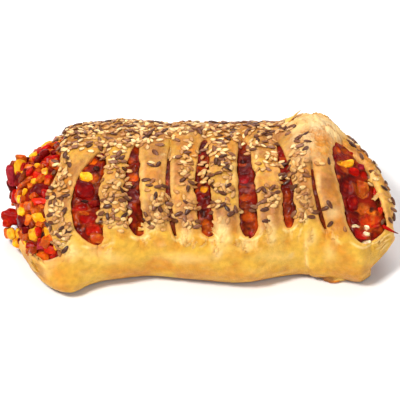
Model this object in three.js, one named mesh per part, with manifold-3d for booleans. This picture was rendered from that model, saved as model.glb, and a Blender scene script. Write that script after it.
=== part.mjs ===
// A savoury strudel: one puff pastry sheet wrapped round a pepper and sweetcorn filling. The top has eight
// slits that opened in the oven, so nine puffed bands arch over the filling. Both ends are open, the filling
// spills out of the left one, and sesame and linseed are baked onto the bands.
// Millimetres. +X runs along the roll, -Y is the front wall, +Z is up, and the flat base stands on z = 0.
import * as THREE from "three";
import { mergeVertices } from "three/addons/utils/BufferGeometryUtils.js";
import Module from "manifold-3d";

const wasm = await Module();
wasm.setup();

// ---- Driving dimensions. "turn" is the angle round the roll in degrees: 180 front, 90 crest, 0 back. ----

const SHEET = 4.5; // thickness of the baked pastry sheet
const BELLY = 12; // height at which the walls reach out furthest
const FLOOR_TURN = 35; // how far below the horizontal the walls curl in to meet the floor
const SQUARENESS = 0.9; // exponent of the superelliptic section, 1 for an ellipse
const LIFT = 0.6; // how far the bands puff above the smooth roll
const SINK = 2.2; // how far their edges roll down beside a slit
const EDGE_ROUND = 4.6; // width of that rolled edge
const RIM_ROUND = 2.6; // the same at the open ends
const GAP = 0.35; // clearance between pastry and filling
const SIDE_GAP = 0.65; // the same along X, wider because the slits' and rims' edges run aslant

// The roll's middle, so that the finished object is centred on the origin.
const MIDDLE_X = 0.4;
const MIDDLE_Y = -1.8;

// Reach of the front and back walls and height of the crest, at stations along X.
const FRONT_REACH = curveThrough([
  [-78, 22], [-74, 27], [-70, 34], [-65, 40], [-57, 43], [-42, 42], [-20, 38.5], [-3, 41],
  [14, 43.5], [23, 43], [32, 40], [44, 37], [55, 38.8], [62, 40.5], [70, 42], [76, 37], [85, 30],
]);
const BACK_REACH = curveThrough([
  [-76, 29], [-62, 38], [-50, 41], [-30, 41], [0, 40.5], [20, 40], [36, 40.3], [44, 44], [50, 44],
  [57, 42], [66, 33], [74, 27], [85, 22],
]);
const CREST = curveThrough([
  [-76, 36], [-62, 38.5], [-50, 41.5], [-30, 43], [-10, 42.5], [10, 43], [25, 42.5], [36, 43],
  [42, 45.5], [48, 47], [57, 45], [63, 40.5], [68, 37], [74, 34.5], [80, 32], [85, 29],
]);
// The foot of the front wall flares out at the left corner, and a little at the right one.
const FOOT_FLARE = curveThrough([
  [-75, 0], [-66, 3.8], [-57, 7.5], [-52, 6.8], [-46, 2.5], [-38, 0], [52, 0], [60, 1.5], [70, 1], [74, 0],
]);
const FOOT_TURNS = [165, 200]; // the flare fades in between these turns

// The open ends: X of each rim at turns from the back of the base over the crest to the front of the base.
const LEFT_RIM = curveThrough([
  [-35, -66], [0, -62], [45, -58.5], [90, -59.3], [110, -63], [120, -64.7], [131, -65.4], [156, -61],
  [166, -57.5], [175, -63], [185, -73], [195, -77], [205, -76.5], [215, -72.5],
]);
const RIGHT_RIM = curveThrough([
  [-35, 69], [0, 69.5], [40, 70], [60, 72.5], [86, 78.6], [114, 84.6], [137, 84.4], [155, 84.6], [166, 84.8],
  [172, 83.5], [178, 75.6], [185, 73], [195, 71.6], [205, 70.4], [215, 68.5],
]);

// Slits, left to right. x is midway between the tips, lean is the front tip's X less the back tip's, bow bends
// the middle sideways, and front and back are the turns of the tips. The tips are the shares of the slit's
// length over which its front and its back end round off.
const SLITS = [
  { x: -41.5, lean: -1.4, bow: -6.1, width: 12, front: 160.5, back: 88, tips: [0.32, 0.45] },
  { x: -25.2, lean: 1.7, bow: -2.4, width: 6.8, front: 157.5, back: 81, tips: [0.14, 0.7] },
  { x: -10.1, lean: 2.4, bow: -2.2, width: 2.2, front: 157.5, back: 83, tips: [0.2, 0.8] },
  { x: 4.3, lean: 1.5, bow: -1.9, width: 6.6, front: 154, back: 76, tips: [0.14, 0.7] },
  { x: 21.3, lean: 2.6, bow: 0, width: 7.8, front: 153.5, back: 74.5, tips: [0.14, 0.7] },
  { x: 37.2, lean: 4.8, bow: 1, width: 4.8, front: 153, back: 79, tips: [0.14, 0.8] },
  { x: 51.9, lean: 5.8, bow: -1.4, width: 2, front: 154.5, back: 102, tips: [0.16, 1] },
  { x: 68.7, lean: 11.5, bow: 0.8, width: 17.4, front: 157, back: 76, tips: [0.24, 0.45] },
];
const CREASE_FADE = 11; // degrees over which the crease beyond a tip fades out

// A fold in the front wall where the sheet laps over itself, and a browned tab of pastry under it.
const FOLD = { x: 47, lean: 0.06, width: 2, rise: 0.9, end: 66, top: 148 };
const TAB = { at: [59.2, -33, 2], size: [11, 7.4, 4] };
// A thin flake that stands up at the back right.
const FLAKE = { x: 42, turn: 54, length: 6.5, width: 5, thickness: 0.9, rise: 30 };

const SEED_LIMITS = [28, 151]; // turns between which seeds lie
// Share of the seeds' full density on each band at the crest, in the middle and at the front.
const SEED_COVER = [
  [0.9, 0.9, 0.9], [1, 1, 0.9], [0.8, 0.35, 1], [0.7, 0.5, 0.7], [1, 0.8, 0.7],
  [0.9, 0.6, 0.5], [0.8, 0.7, 0.25], [0.15, 0.12, 0.25], [0.5, 0.5, 0.4],
];
const SESAME = { length: 3.3, width: 2, thickness: 1 };
const LINSEED = { length: 4.9, width: 2.4, thickness: 1.2 };
const LINSEED_SHARE = 0.42;
const SEED_SINK = 0.12;
const SEED_TRIES = 440;
const SEED_SPACING = 3.4;
const SEED_EDGE_ROOM = 2.1; // distance that seeds keep from the slits and rims

// Filling in the left mouth: pieces of pepper and sweetcorn, placed one by one.
const MOUTH_PIECES = [
  { kind: "pepper", at: [-79.6, 5.2, 20], size: [5.6, 7, 22], tilt: [-38, -12, 0] },
  { kind: "corn", at: [-77.2, 8.4, 26.2], size: [6, 6, 9.5], tilt: [-30, 0, 0] },
  { kind: "corn", at: [-75.9, 1.4, 20], size: [6.8, 6, 9.5], tilt: [-35, 4, 0] },
  { kind: "pepper", at: [-77, -1.6, 15.6], size: [6, 6, 6.5], tilt: [-30, 20, 10] },
  { kind: "corn", at: [-69.7, 7.7, 29.5], size: [5, 5, 5.5], tilt: [0, 20, 0] },
  { kind: "corn", at: [-66, 2.3, 30], size: [4.5, 5, 5.5], tilt: [-30, -15, 0] },
  { kind: "pepper", at: [-62.5, 6.4, 32], size: [10, 5, 7], tilt: [-40, -20, 10] },
  { kind: "pepper", at: [-68.7, -3.5, 21], size: [8.5, 5, 10], tilt: [-40, -12, 0] },
  { kind: "pepper", at: [-69, -7, 16.5], size: [8, 5, 5], tilt: [-30, 5, 0] },
  { kind: "corn", at: [-61.3, 12, 34], size: [8, 7, 6], tilt: [-20, -30, 0] },
  { kind: "pepper", at: [-61.5, 18.5, 32.5], size: [5, 5, 5], tilt: [0, 30, 20] },
  { kind: "pepper", at: [-67.4, 12.5, 29.5], size: [5, 5, 5.5], tilt: [0, 40, 0] },
  { kind: "pepper", at: [-79.5, -7.6, 12.4], size: [11, 8, 7.5], tilt: [-25, 8, -6] },
  { kind: "corn", at: [-67.8, -13.4, 15], size: [8.6, 6, 6], tilt: [-30, 8, 0] },
  { kind: "corn", at: [-71.5, -9, 14], size: [9, 6, 6], tilt: [-20, 0, 10] },
  { kind: "corn", at: [-70.4, -17.8, 12], size: [6.6, 5, 7.5], tilt: [-40, -6, 0] },
  { kind: "corn", at: [-64.8, -19, 14], size: [4.5, 4.5, 7], tilt: [-40, 4, 0] },
  { kind: "pepper", at: [-78, -14.6, 8.6], size: [9, 7, 8.5], tilt: [-38, 8, 0] },
  { kind: "pepper", at: [-72, -13, 10], size: [9, 8, 8], tilt: [-35, 0, 0] },
  { kind: "pepper", at: [-66.5, -25.5, 11.5], size: [17, 4.5, 6], tilt: [-30, 20, 14] },
  { kind: "corn", at: [-72, 16, 20], size: [7, 7, 7], tilt: [-10, 25, 0] },
  { kind: "pepper", at: [-74, 10, 14], size: [8, 9, 6], tilt: [0, 15, 30] },
  { kind: "pepper", at: [-67, 22, 16], size: [7, 8, 8], tilt: [-20, 0, 40] },
  { kind: "corn", at: [-70, 20, 11], size: [6, 6, 6], tilt: [0, 0, 20] },
];
// Pieces in the two widest slits, by X and turn, and how deep their middles lie below the smooth roll.
const SLIT_PIECES = [
  { kind: "corn", x: -46.5, turn: 98, depth: 4, size: [5.5, 5, 5] },
  { kind: "pepper", x: -42.5, turn: 95, depth: 4.5, size: [5, 6, 5] },
  { kind: "corn", x: -47.8, turn: 107, depth: 3.6, size: [6.5, 6.5, 5.5] },
  { kind: "pepper", x: -49, turn: 119, depth: 4, size: [10, 10, 5] },
  { kind: "pepper", x: -51, turn: 131, depth: 4, size: [7, 4.5, 5] },
  { kind: "pepper", x: -47.5, turn: 139, depth: 3.8, size: [8.5, 8, 5] },
  { kind: "corn", x: -45, turn: 149.5, depth: 4, size: [8, 8, 4.5] },
  { kind: "pepper", x: 64.6, turn: 86, depth: 4, size: [5, 4, 5] },
  { kind: "corn", x: 65.6, turn: 93, depth: 3.6, size: [8.5, 4.5, 4.5] },
  { kind: "pepper", x: 67.5, turn: 104, depth: 3.6, size: [9, 8, 5] },
  { kind: "pepper", x: 67.5, turn: 119, depth: 4, size: [6.5, 11, 5] },
  { kind: "pepper", x: 74.4, turn: 113, depth: 3.2, size: [8, 10, 5] },
  { kind: "corn", x: 76, turn: 130, depth: 3, size: [8, 9, 5] },
  { kind: "pepper", x: 75, turn: 143, depth: 3, size: [10, 7, 5] },
  { kind: "pepper", x: 81, turn: 143, depth: -0.7, size: [13.5, 2.6, 2], slope: 20 },
];
const SAUCE_DEPTH = SHEET + 0.7; // the filling's surface under the bands
const SAUCE_RISE = 1.9; // how much further it swells up into a slit
const SAUCE_LUMPS = 1.2; // height of the lumps along that swelling

const COLOURS = { pastry: 0xe0a850, filling: 0xb02a10 };

// Turns of the section's rows: even over the walls, finer where the slits are, then across the base.
const WALL_TURNS = [
  ...evenly(180 + FLOOR_TURN, 165, 6), ...evenly(165, 150, 5).slice(1), ...evenly(150, 72, 11).slice(1),
  ...evenly(72, -FLOOR_TURN, 8).slice(1),
];
const BASE_SHARES = [0.33, 0.67]; // rows on the base, as shares of the way from its back to its front
const COLUMNS = { corner: 6, band: 4 }; // columns of the first band, which has the flared corner, and the others

// ---- Small helpers ----

function evenly(from, to, steps) {
  return Array.from({ length: steps + 1 }, (_, i) => from + ((to - from) * i) / steps);
}

// A smooth curve through [position, value] stations, level beyond the first and the last.
function curveThrough(stations) {
  const slopes = stations.map((_, i) => {
    const before = stations[i - 1];
    const after = stations[i + 1];
    return before && after ? (after[1] - before[1]) / (after[0] - before[0]) : 0;
  });
  return (at) => {
    const next = stations.findIndex(([position]) => position > at);
    if (next === 0) return stations[0][1];
    if (next < 0) return stations[stations.length - 1][1];
    const [p0, v0] = stations[next - 1];
    const [p1, v1] = stations[next];
    const span = p1 - p0;
    const t = (at - p0) / span;
    const ease = t * t * (3 - 2 * t);
    return v0 * (1 - ease) + v1 * ease
      + span * t * (1 - t) * (slopes[next - 1] * (1 - t) - slopes[next] * t);
  };
}

const clamp = (value, low, high) => Math.min(high, Math.max(low, value));
const smooth = (value) => THREE.MathUtils.smoothstep(value, 0, 1);

// A repeatable number from 0 to 1 for each whole number.
function scatter(n) {
  const value = Math.sin(n * 127.1 + 311.7) * 43758.5453;
  return value - Math.floor(value);
}

// ---- The roll's surface ----

// A point at X and turn, depth millimetres inside the smooth roll (outside it where depth is negative).
function rollPoint(x, turn, depth) {
  const c = Math.cos(THREE.MathUtils.degToRad(turn));
  const s = Math.sin(THREE.MathUtils.degToRad(turn));
  const flare = FOOT_FLARE(x) * smooth((turn - FOOT_TURNS[0]) / (FOOT_TURNS[1] - FOOT_TURNS[0]));
  const reach = (c < 0 ? FRONT_REACH(x) + flare : BACK_REACH(x)) - depth;
  const y = reach * Math.sign(c) * Math.abs(c) ** SQUARENESS;
  const floor = Math.max(depth, 0);
  const z = s > 0
    ? BELLY + (CREST(x) - depth - BELLY) * s ** SQUARENESS
    : BELLY - (BELLY - floor) * (-s / Math.sin(THREE.MathUtils.degToRad(FLOOR_TURN)));
  return new THREE.Vector3(x, y, z);
}

// A point on the base, share of the way from its back edge to its front edge.
function basePoint(x, share, depth) {
  const back = rollPoint(x, -FLOOR_TURN, depth);
  const front = rollPoint(x, 180 + FLOOR_TURN, depth);
  return back.lerp(front, share);
}

// Centre and half width of a slit at a turn. Beyond its tips it runs on with no width.
function slitAt(slit, turn) {
  const along = clamp((slit.front - turn) / (slit.front - slit.back), 0, 1);
  const centre = slit.x + slit.lean * (0.5 - along) + slit.bow * 4 * along * (1 - along);
  const half = (slit.width / 2) * tipShare(along / slit.tips[0]) * tipShare((1 - along) / slit.tips[1]);
  return { centre, half: half < 0.1 ? 0 : half };
}

// Width near a slit's tip as a share of its full width, at a share of the tip's length.
function tipShare(share) {
  return Math.sqrt(1 - (1 - clamp(share, 0, 1)) ** 2);
}

// How far a slit's rolled edges show at a turn: 1 along the slit, fading to 0 beyond its tips.
function slitShows(slit, turn) {
  const beyond = Math.max(turn - slit.front, slit.back - turn, 0);
  return 1 - smooth(beyond / CREASE_FADE);
}

// The drop of a rolled edge, a quarter of a circle: 1 at the edge and 0 from `round` inwards.
function edgeDrop(distance, round) {
  const across = 1 - clamp(distance / round, 0, 1);
  return 1 - Math.sqrt(1 - across * across);
}

// Gentle lumps that every baked surface has.
function lumps(x, turn) {
  return 0.35 * Math.sin(x * 0.21 + turn * 0.045) + 0.3 * Math.sin(x * 0.11 - turn * 0.083 + 2);
}

function foldRise(x, turn) {
  const start = FOLD.x + (turn - 180) * FOLD.lean;
  const across = smooth((x - start) / FOLD.width) * (1 - smooth((x - start) / (FOLD.end - start)));
  return FOLD.rise * across * smooth((turn - FOLD.top) / 8);
}

// X of both edges of band number `band` at a turn, each moved out by grow.
function bandEdges(band, turn, grow = 0) {
  const before = SLITS[band - 1];
  const after = SLITS[band];
  const left = before ? slitAt(before, turn) : null;
  const right = after ? slitAt(after, turn) : null;
  return {
    left: left ? left.centre + Math.max(0, left.half - grow) : LEFT_RIM(turn) - grow,
    right: right ? right.centre - Math.max(0, right.half - grow) : RIGHT_RIM(turn) + grow,
    leftShows: before ? slitShows(before, turn) : 1,
    rightShows: after ? slitShows(after, turn) : 1,
    leftRound: before ? EDGE_ROUND : RIM_ROUND,
    rightRound: after ? EDGE_ROUND : RIM_ROUND,
  };
}

// Depth of the pastry's outer surface on a band, below the smooth roll.
function crustDepth(x, turn, edges) {
  const half = (edges.right - edges.left) / 2;
  const drop = edges.leftShows * edgeDrop(x - edges.left, Math.min(edges.leftRound, half))
    + edges.rightShows * edgeDrop(edges.right - x, Math.min(edges.rightRound, half));
  const onWall = clamp((turn + FLOOR_TURN) / 20, 0, 1) * clamp((180 + FLOOR_TURN - turn) / 20, 0, 1);
  const swell = LIFT + lumps(x, turn) * onWall + foldRise(x, turn);
  return (swell + SINK) * drop - swell;
}

// ---- Closed meshes and solids ----

class Skin {
  constructor() {
    this.corners = [];
  }
  quad(a, b, c, d) {
    this.corners.push(a, b, c, a, c, d);
  }
  solid() {
    const geometry = new THREE.BufferGeometry().setFromPoints(this.corners);
    return solidOf(geometry);
  }
}

// A closed geometry as a solid, with its shared vertices merged and collapsed triangles dropped.
function solidOf(geometry) {
  const bare = new THREE.BufferGeometry().setAttribute("position", geometry.getAttribute("position"));
  if (geometry.index) bare.setIndex(geometry.index);
  const merged = mergeVertices(bare, 1e-3);
  const index = Array.from(merged.index.array);
  const kept = [];
  for (let i = 0; i < index.length; i += 3) {
    const [a, b, c] = index.slice(i, i + 3);
    if (a !== b && b !== c && c !== a) kept.push(a, b, c);
  }
  return new wasm.Manifold(new wasm.Mesh({
    numProp: 3,
    vertProperties: new Float32Array(merged.attributes.position.array),
    triVerts: new Uint32Array(kept),
  }));
}

function meshOf(solid, name, colour, roughness) {
  const { vertProperties, triVerts, numProp, numVert } = solid.getMesh();
  const positions = new Float32Array(numVert * 3);
  for (let i = 0; i < numVert; i++) positions.set(vertProperties.subarray(i * numProp, i * numProp + 3), i * 3);
  const geometry = new THREE.BufferGeometry()
    .setAttribute("position", new THREE.BufferAttribute(positions, 3))
    .setIndex(new THREE.BufferAttribute(triVerts, 1));
  geometry.computeVertexNormals();
  const material = new THREE.MeshStandardMaterial({ color: colour, roughness, metalness: 0 });
  const mesh = new THREE.Mesh(geometry, material);
  mesh.name = name;
  return mesh;
}

function largestPiece(solid) {
  return solid.decompose().reduce((best, piece) => (piece.volume() > best.volume() ? piece : best));
}

// ---- The pastry ----

// The section's rows, in order round the roll: wall rows by turn, then base rows by share.
function sectionRows() {
  return [
    ...WALL_TURNS.map((turn) => ({ turn, point: (x, depth) => rollPoint(x, turn, depth) })),
    ...BASE_SHARES.map((share) => ({
      turn: share < 0.5 ? -FLOOR_TURN : 180 + FLOOR_TURN,
      share,
      point: (x, depth) => basePoint(x, share, depth),
    })),
  ];
}

// Band edges on a row. On the base both rims run straight from the back of the base to its front.
function rowEdges(band, row, grow) {
  if (row.share === undefined) return bandEdges(band, row.turn, grow);
  const back = bandEdges(band, -FLOOR_TURN, grow);
  const front = bandEdges(band, 180 + FLOOR_TURN, grow);
  return {
    ...back,
    left: THREE.MathUtils.lerp(back.left, front.left, row.share),
    right: THREE.MathUtils.lerp(back.right, front.right, row.share),
  };
}

// The wrapped sheet with its slits open. `grow` thickens it all over, for the room that the filling leaves it.
// `sideGrow` is the same along X.
function wrappedSheet(grow = 0, sideGrow = 0) {
  const skin = new Skin();
  const rows = sectionRows();
  const lastBand = SLITS.length;
  for (let r = 0; r < rows.length; r++) {
    const near = rows[r];
    const far = rows[(r + 1) % rows.length];
    for (let band = 0; band <= lastBand; band++) {
      const [a, b] = [near, far].map((row) => bandRow(band, row, grow, sideGrow));
      const last = a.outer.length - 1;
      for (let i = 0; i < last; i++) skin.quad(a.outer[i], a.outer[i + 1], b.outer[i + 1], b.outer[i]);
      skin.quad(a.inner[1], a.inner[0], b.inner[0], b.inner[1]);
      if (band === 0 || a.leftOpen || b.leftOpen) skin.quad(a.outer[0], b.outer[0], b.inner[0], a.inner[0]);
      if (band === lastBand || a.rightOpen || b.rightOpen) {
        skin.quad(b.outer[last], a.outer[last], a.inner[1], b.inner[1]);
      }
    }
  }
  return skin.solid();
}

// One row of points across a band: its outer points from edge to edge, and the two inner corners.
function bandRow(band, row, grow, sideGrow) {
  const edges = rowEdges(band, row, sideGrow);
  const outer = evenly(0, 1, band === 0 ? COLUMNS.corner : COLUMNS.band).map((share) => {
    const x = THREE.MathUtils.lerp(edges.left, edges.right, 0.5 - 0.5 * Math.cos(Math.PI * share));
    return row.point(x, crustDepth(x, row.turn, edges) - grow);
  });
  const inner = [edges.left, edges.right].map((x) => row.point(x, SHEET + grow));
  const open = (slit) => row.share === undefined && slit !== undefined && slitAt(slit, row.turn).half > sideGrow;
  return { outer, inner, leftOpen: open(SLITS[band - 1]), rightOpen: open(SLITS[band]) };
}

function browned(size) {
  return solidOf(unevenBox(size, 7));
}

function standingFlake() {
  const frame = crustFrame(FLAKE.x, FLAKE.turn);
  const blade = unevenBox([FLAKE.length, FLAKE.width, FLAKE.thickness], 3);
  blade.translate(FLAKE.length * 0.35, 0, 0);
  blade.rotateY(-THREE.MathUtils.degToRad(FLAKE.rise));
  return solidOf(blade.applyMatrix4(frame));
}

// ---- Seeds ----

// A matrix that stands an object on the crust: Z along the surface's normal and X along the roll.
function crustFrame(x, turn) {
  const band = bandAt(x, turn);
  const at = (px, pturn) => rollPoint(px, pturn, crustDepth(px, pturn, bandEdges(band, pturn)));
  const origin = at(x, turn);
  const alongX = at(x + 0.5, turn).sub(at(x - 0.5, turn)).normalize();
  const around = at(x, turn - 1).sub(at(x, turn + 1));
  const normal = alongX.clone().cross(around).normalize();
  return new THREE.Matrix4().makeBasis(alongX, normal.clone().cross(alongX), normal).setPosition(origin);
}

function bandAt(x, turn) {
  const next = SLITS.findIndex((slit) => x < slitAt(slit, turn).centre);
  return next < 0 ? SLITS.length : next;
}

// A flat seed with one sharper end: a turned profile with few sides, lying along X.
function seedGeometry({ length, width, thickness }) {
  const profile = [[0, -0.52], [0.52, -0.08], [0, 0.48]].map(([r, h]) => new THREE.Vector2(r, h));
  return new THREE.LatheGeometry(profile, 6)
    .rotateZ(-Math.PI / 2)
    .scale(length, width, thickness);
}

// Spots for seeds, spread evenly by two irrational steps and thinned by each band's cover.
function seedSpots() {
  const spots = [];
  for (let i = 1; i <= SEED_TRIES; i++) {
    const turn = THREE.MathUtils.lerp(SEED_LIMITS[0], SEED_LIMITS[1], (i * 0.5698402910) % 1);
    const x = THREE.MathUtils.lerp(LEFT_RIM(turn), RIGHT_RIM(turn), (i * 0.7548776662) % 1);
    const band = bandAt(x, turn);
    const edges = bandEdges(band, turn);
    const room = Math.min(x - edges.left, edges.right - x);
    if (room < SEED_EDGE_ROOM || scatter(i) > seedCover(band, turn)) continue;
    const point = rollPoint(x, turn, 0);
    if (spots.some((spot) => spot.point.distanceTo(point) < SEED_SPACING)) continue;
    spots.push({ number: i, x, turn, point });
  }
  return spots;
}

function seedCover(band, turn) {
  const [crest, middle, front] = SEED_COVER[band];
  const forward = clamp((turn - 85) / 60, 0, 1) * 2;
  return forward < 1 ? crest + (middle - crest) * forward : middle + (front - middle) * (forward - 1);
}

function seedSolid({ number, x, turn }) {
  const kind = scatter(number + 0.5) < LINSEED_SHARE ? LINSEED : SESAME;
  const seed = seedGeometry(kind);
  seed.translate(0, 0, kind.thickness * 0.12 - SEED_SINK);
  seed.rotateZ(scatter(number + 0.25) * Math.PI);
  return solidOf(seed.applyMatrix4(crustFrame(x, turn)));
}

// ---- The filling ----

// A block with its corners moved in or out a little, by number.
function unevenBox([length, width, height], number) {
  const box = new THREE.BoxGeometry(length, width, height);
  const position = box.getAttribute("position");
  for (let i = 0; i < position.count; i++) {
    const corner = [position.getX(i), position.getY(i), position.getZ(i)];
    const which = number * 8 + corner.reduce((sum, value, axis) => sum + (value > 0 ? 1 << axis : 0), 0);
    position.setXYZ(i, ...corner.map((value, axis) => value * (1 - 0.26 * scatter(which + axis * 0.3))));
  }
  return box;
}

function kernel([length, width, height]) {
  return new THREE.OctahedronGeometry(0.62, 0).rotateZ(0.5).scale(length, width, height);
}

function pieceGeometry({ kind, size }, number) {
  return kind === "corn" ? kernel(size) : unevenBox(size, number);
}

function mouthPiece(piece, number) {
  const turned = piece.tilt.map(THREE.MathUtils.degToRad);
  const place = new THREE.Matrix4().makeRotationFromEuler(new THREE.Euler(...turned));
  return solidOf(pieceGeometry(piece, number).applyMatrix4(place.setPosition(...piece.at)));
}

const slopeOf = ({ slope = 0 }) => -THREE.MathUtils.degToRad(slope);

function slitPiece(piece, number) {
  const frame = new THREE.Matrix4().extractRotation(crustFrame(piece.x, piece.turn));
  const centre = rollPoint(piece.x, piece.turn, piece.depth);
  const spin = (scatter(number + 40) - 0.5) * (piece.slope ? 0.1 : 0.9);
  const lying = new THREE.Matrix4().makeRotationFromEuler(new THREE.Euler(0, slopeOf(piece), spin));
  return solidOf(pieceGeometry(piece, number).applyMatrix4(frame.multiply(lying).setPosition(centre)));
}

// The body of the filling: a roll inside the sheet, with a blunt swelling at each mouth.
function fillingCore() {
  const turns = evenly(180 + FLOOR_TURN, -FLOOR_TURN, 14);
  const rings = [
    ...mouthRings(turns, (turn) => LEFT_RIM(turn) + 1.5, [[0.45, -75.5], [0.8, -73.5], [0.95, -68]]),
    ...evenly(0, 1, 6).map((share) => turns.map((turn) => {
      const x = THREE.MathUtils.lerp(LEFT_RIM(turn) + 1.5, RIGHT_RIM(turn) - 3, share);
      return rollPoint(x, turn, SAUCE_DEPTH);
    })),
    ...mouthRings(turns, (turn) => RIGHT_RIM(turn) - 3, [[0.85, 76.5], [0.5, 78]]),
  ];
  return loft(rings);
}

// Rings that close a mouth: each is the mouth's own ring drawn in towards its middle by a share, at an X.
function mouthRings(turns, rim, steps) {
  const edge = turns.map((turn) => rollPoint(rim(turn), turn, SAUCE_DEPTH));
  const middle = edge.reduce((sum, point) => sum.add(point), new THREE.Vector3()).divideScalar(edge.length);
  return steps.map(([share, x]) => edge.map((point) => {
    const drawn = middle.clone().lerp(point, share);
    const outward = smooth(1.25 * (1 - share) + 0.25);
    drawn.x = THREE.MathUtils.lerp(point.x, x, outward);
    return drawn;
  }));
}

// A lumpy ridge of filling that swells up into a slit.
function slitRidge(slit, number) {
  const turns = evenly(slit.front - 2, slit.back + 2, 7);
  const low = SAUCE_DEPTH + 3;
  const rings = turns.map((turn, i) => {
    const { centre, half } = slitAt(slit, turn);
    const side = Math.max(0.2, half - SIDE_GAP - 0.1);
    const high = SHEET - (SAUCE_RISE + SAUCE_LUMPS * (scatter(number * 20 + i) - 0.5)) * Math.min(1, side / 2);
    return [
      rollPoint(centre - side, turn, low), rollPoint(centre - side, turn, high + 0.7),
      rollPoint(centre, turn, high), rollPoint(centre + side, turn, high + 0.7),
      rollPoint(centre + side, turn, low),
    ];
  });
  return loft(rings);
}

// A closed solid through rings of points, with a fan on each end.
function loft(rings) {
  const skin = new Skin();
  const count = rings[0].length;
  for (let r = 0; r + 1 < rings.length; r++) {
    for (let i = 0; i < count; i++) {
      const next = (i + 1) % count;
      skin.quad(rings[r][i], rings[r + 1][i], rings[r + 1][next], rings[r][next]);
    }
  }
  const cap = (ring, flip) => {
    const middle = ring.reduce((sum, point) => sum.add(point), new THREE.Vector3()).divideScalar(count);
    for (let i = 0; i < count; i++) {
      const next = (i + 1) % count;
      skin.corners.push(middle, ...(flip ? [ring[next], ring[i]] : [ring[i], ring[next]]));
    }
  };
  cap(rings[0], false);
  cap(rings[rings.length - 1], true);
  const solid = skin.solid();
  return solid.volume() < 0 ? turnedInsideOut(skin) : solid;
}

function turnedInsideOut(skin) {
  const flipped = new Skin();
  for (let i = 0; i < skin.corners.length; i += 3) {
    flipped.corners.push(skin.corners[i], skin.corners[i + 2], skin.corners[i + 1]);
  }
  return flipped.solid();
}

// ---- The object ----

function pastrySolid() {
  const tab = browned(TAB.size).translate(TAB.at);
  const toppings = seedSpots().map(seedSolid);
  return largestPiece(wasm.Manifold.union([wrappedSheet(), tab, standingFlake(), ...toppings]));
}

function fillingSolid() {
  const pieces = [
    ...MOUTH_PIECES.map(mouthPiece),
    ...SLIT_PIECES.map(slitPiece),
    ...SLITS.filter((slit) => slit.width > 2 * SIDE_GAP + 0.5).map(slitRidge),
  ];
  const whole = wasm.Manifold.union([fillingCore(), ...pieces]);
  return largestPiece(whole.subtract(wrappedSheet(GAP, SIDE_GAP)));
}

const strudel = new THREE.Group();
strudel.add(meshOf(pastrySolid(), "pastry", COLOURS.pastry, 0.5));
strudel.add(meshOf(fillingSolid(), "filling", COLOURS.filling, 0.3));
strudel.position.set(-MIDDLE_X, -MIDDLE_Y, 0);

export default strudel;
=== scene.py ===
"""A savoury strudel: a puff pastry roll with eight slits across its top, baked with sesame and linseed, and a
glossy filling of pepper and sweetcorn that shows in the slits and spills out of the left end.

Lengths are in millimetres until a mesh is made. "turn" is the angle round the roll in degrees: 180 at the
front wall, 90 at the crest and 0 at the back wall. "depth" is measured inwards from the smooth roll.
"""
import math

import bmesh
import bpy
import numpy as np
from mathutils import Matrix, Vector
from mathutils.bvhtree import BVHTree


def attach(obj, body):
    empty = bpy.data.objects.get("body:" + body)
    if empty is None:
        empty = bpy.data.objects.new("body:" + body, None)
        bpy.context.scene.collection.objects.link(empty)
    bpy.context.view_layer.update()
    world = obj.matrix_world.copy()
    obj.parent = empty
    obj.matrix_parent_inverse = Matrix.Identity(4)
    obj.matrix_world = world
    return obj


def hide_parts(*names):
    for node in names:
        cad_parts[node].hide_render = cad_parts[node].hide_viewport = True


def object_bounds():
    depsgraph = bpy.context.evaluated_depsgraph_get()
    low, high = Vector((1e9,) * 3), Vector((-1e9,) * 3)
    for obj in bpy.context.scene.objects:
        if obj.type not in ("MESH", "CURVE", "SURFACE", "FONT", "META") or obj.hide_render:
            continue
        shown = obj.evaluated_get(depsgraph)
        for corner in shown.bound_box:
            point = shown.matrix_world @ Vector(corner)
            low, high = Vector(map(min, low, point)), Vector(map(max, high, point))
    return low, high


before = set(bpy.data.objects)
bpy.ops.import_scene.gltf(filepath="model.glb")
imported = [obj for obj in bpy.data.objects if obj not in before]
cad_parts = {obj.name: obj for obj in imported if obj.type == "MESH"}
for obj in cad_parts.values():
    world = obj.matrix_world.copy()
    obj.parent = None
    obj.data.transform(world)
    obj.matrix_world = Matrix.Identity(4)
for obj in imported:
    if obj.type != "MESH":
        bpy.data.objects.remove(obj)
cad_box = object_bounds()

MM = 0.001
MIDDLE = np.array([0.4, -1.8, 0.0])  # the roll's middle, which the frame's origin lies under

# ---- The roll's measures, the same as the solids have ----

SHEET = 4.5  # the pastry's thickness
BELLY = 12.0  # the height at which the roll is widest
FLOOR_TURN = 35.0  # how far past the belly the walls turn under
SQUARENESS = 0.9  # of the section: 1 would be an ellipse
LIFT = 0.6  # how far the bands stand out of the smooth roll
SINK = 2.2  # how deep their rolled edges lie in it
EDGE_ROUND = 4.6  # how wide an edge rolls down beside a slit
RIM_ROUND = 2.6  # and at the open ends
RIM_SET_BACK = 0.35
CREASE_FADE = 11.0  # degrees past a slit's tip over which its crease fades
FOOT_TURNS = (165.0, 200.0)  # the turns between which the front foot flares
LUMP_FADE = 20.0  # degrees over which the unevenness fades in from the base
WALL_PER_TURN = 0.72  # millimetres round the wall for a degree of turn
# The fold at the front right: its X at the front wall, how that shifts with the turn, how wide and high its
# step is, the X by which the raised sheet is level again, and the turn at which it begins.
FOLD = {"x": 47.0, "lean": 0.06, "width": 1.2, "rise": 1.1, "end": 66.0, "top": 148.0}


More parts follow.
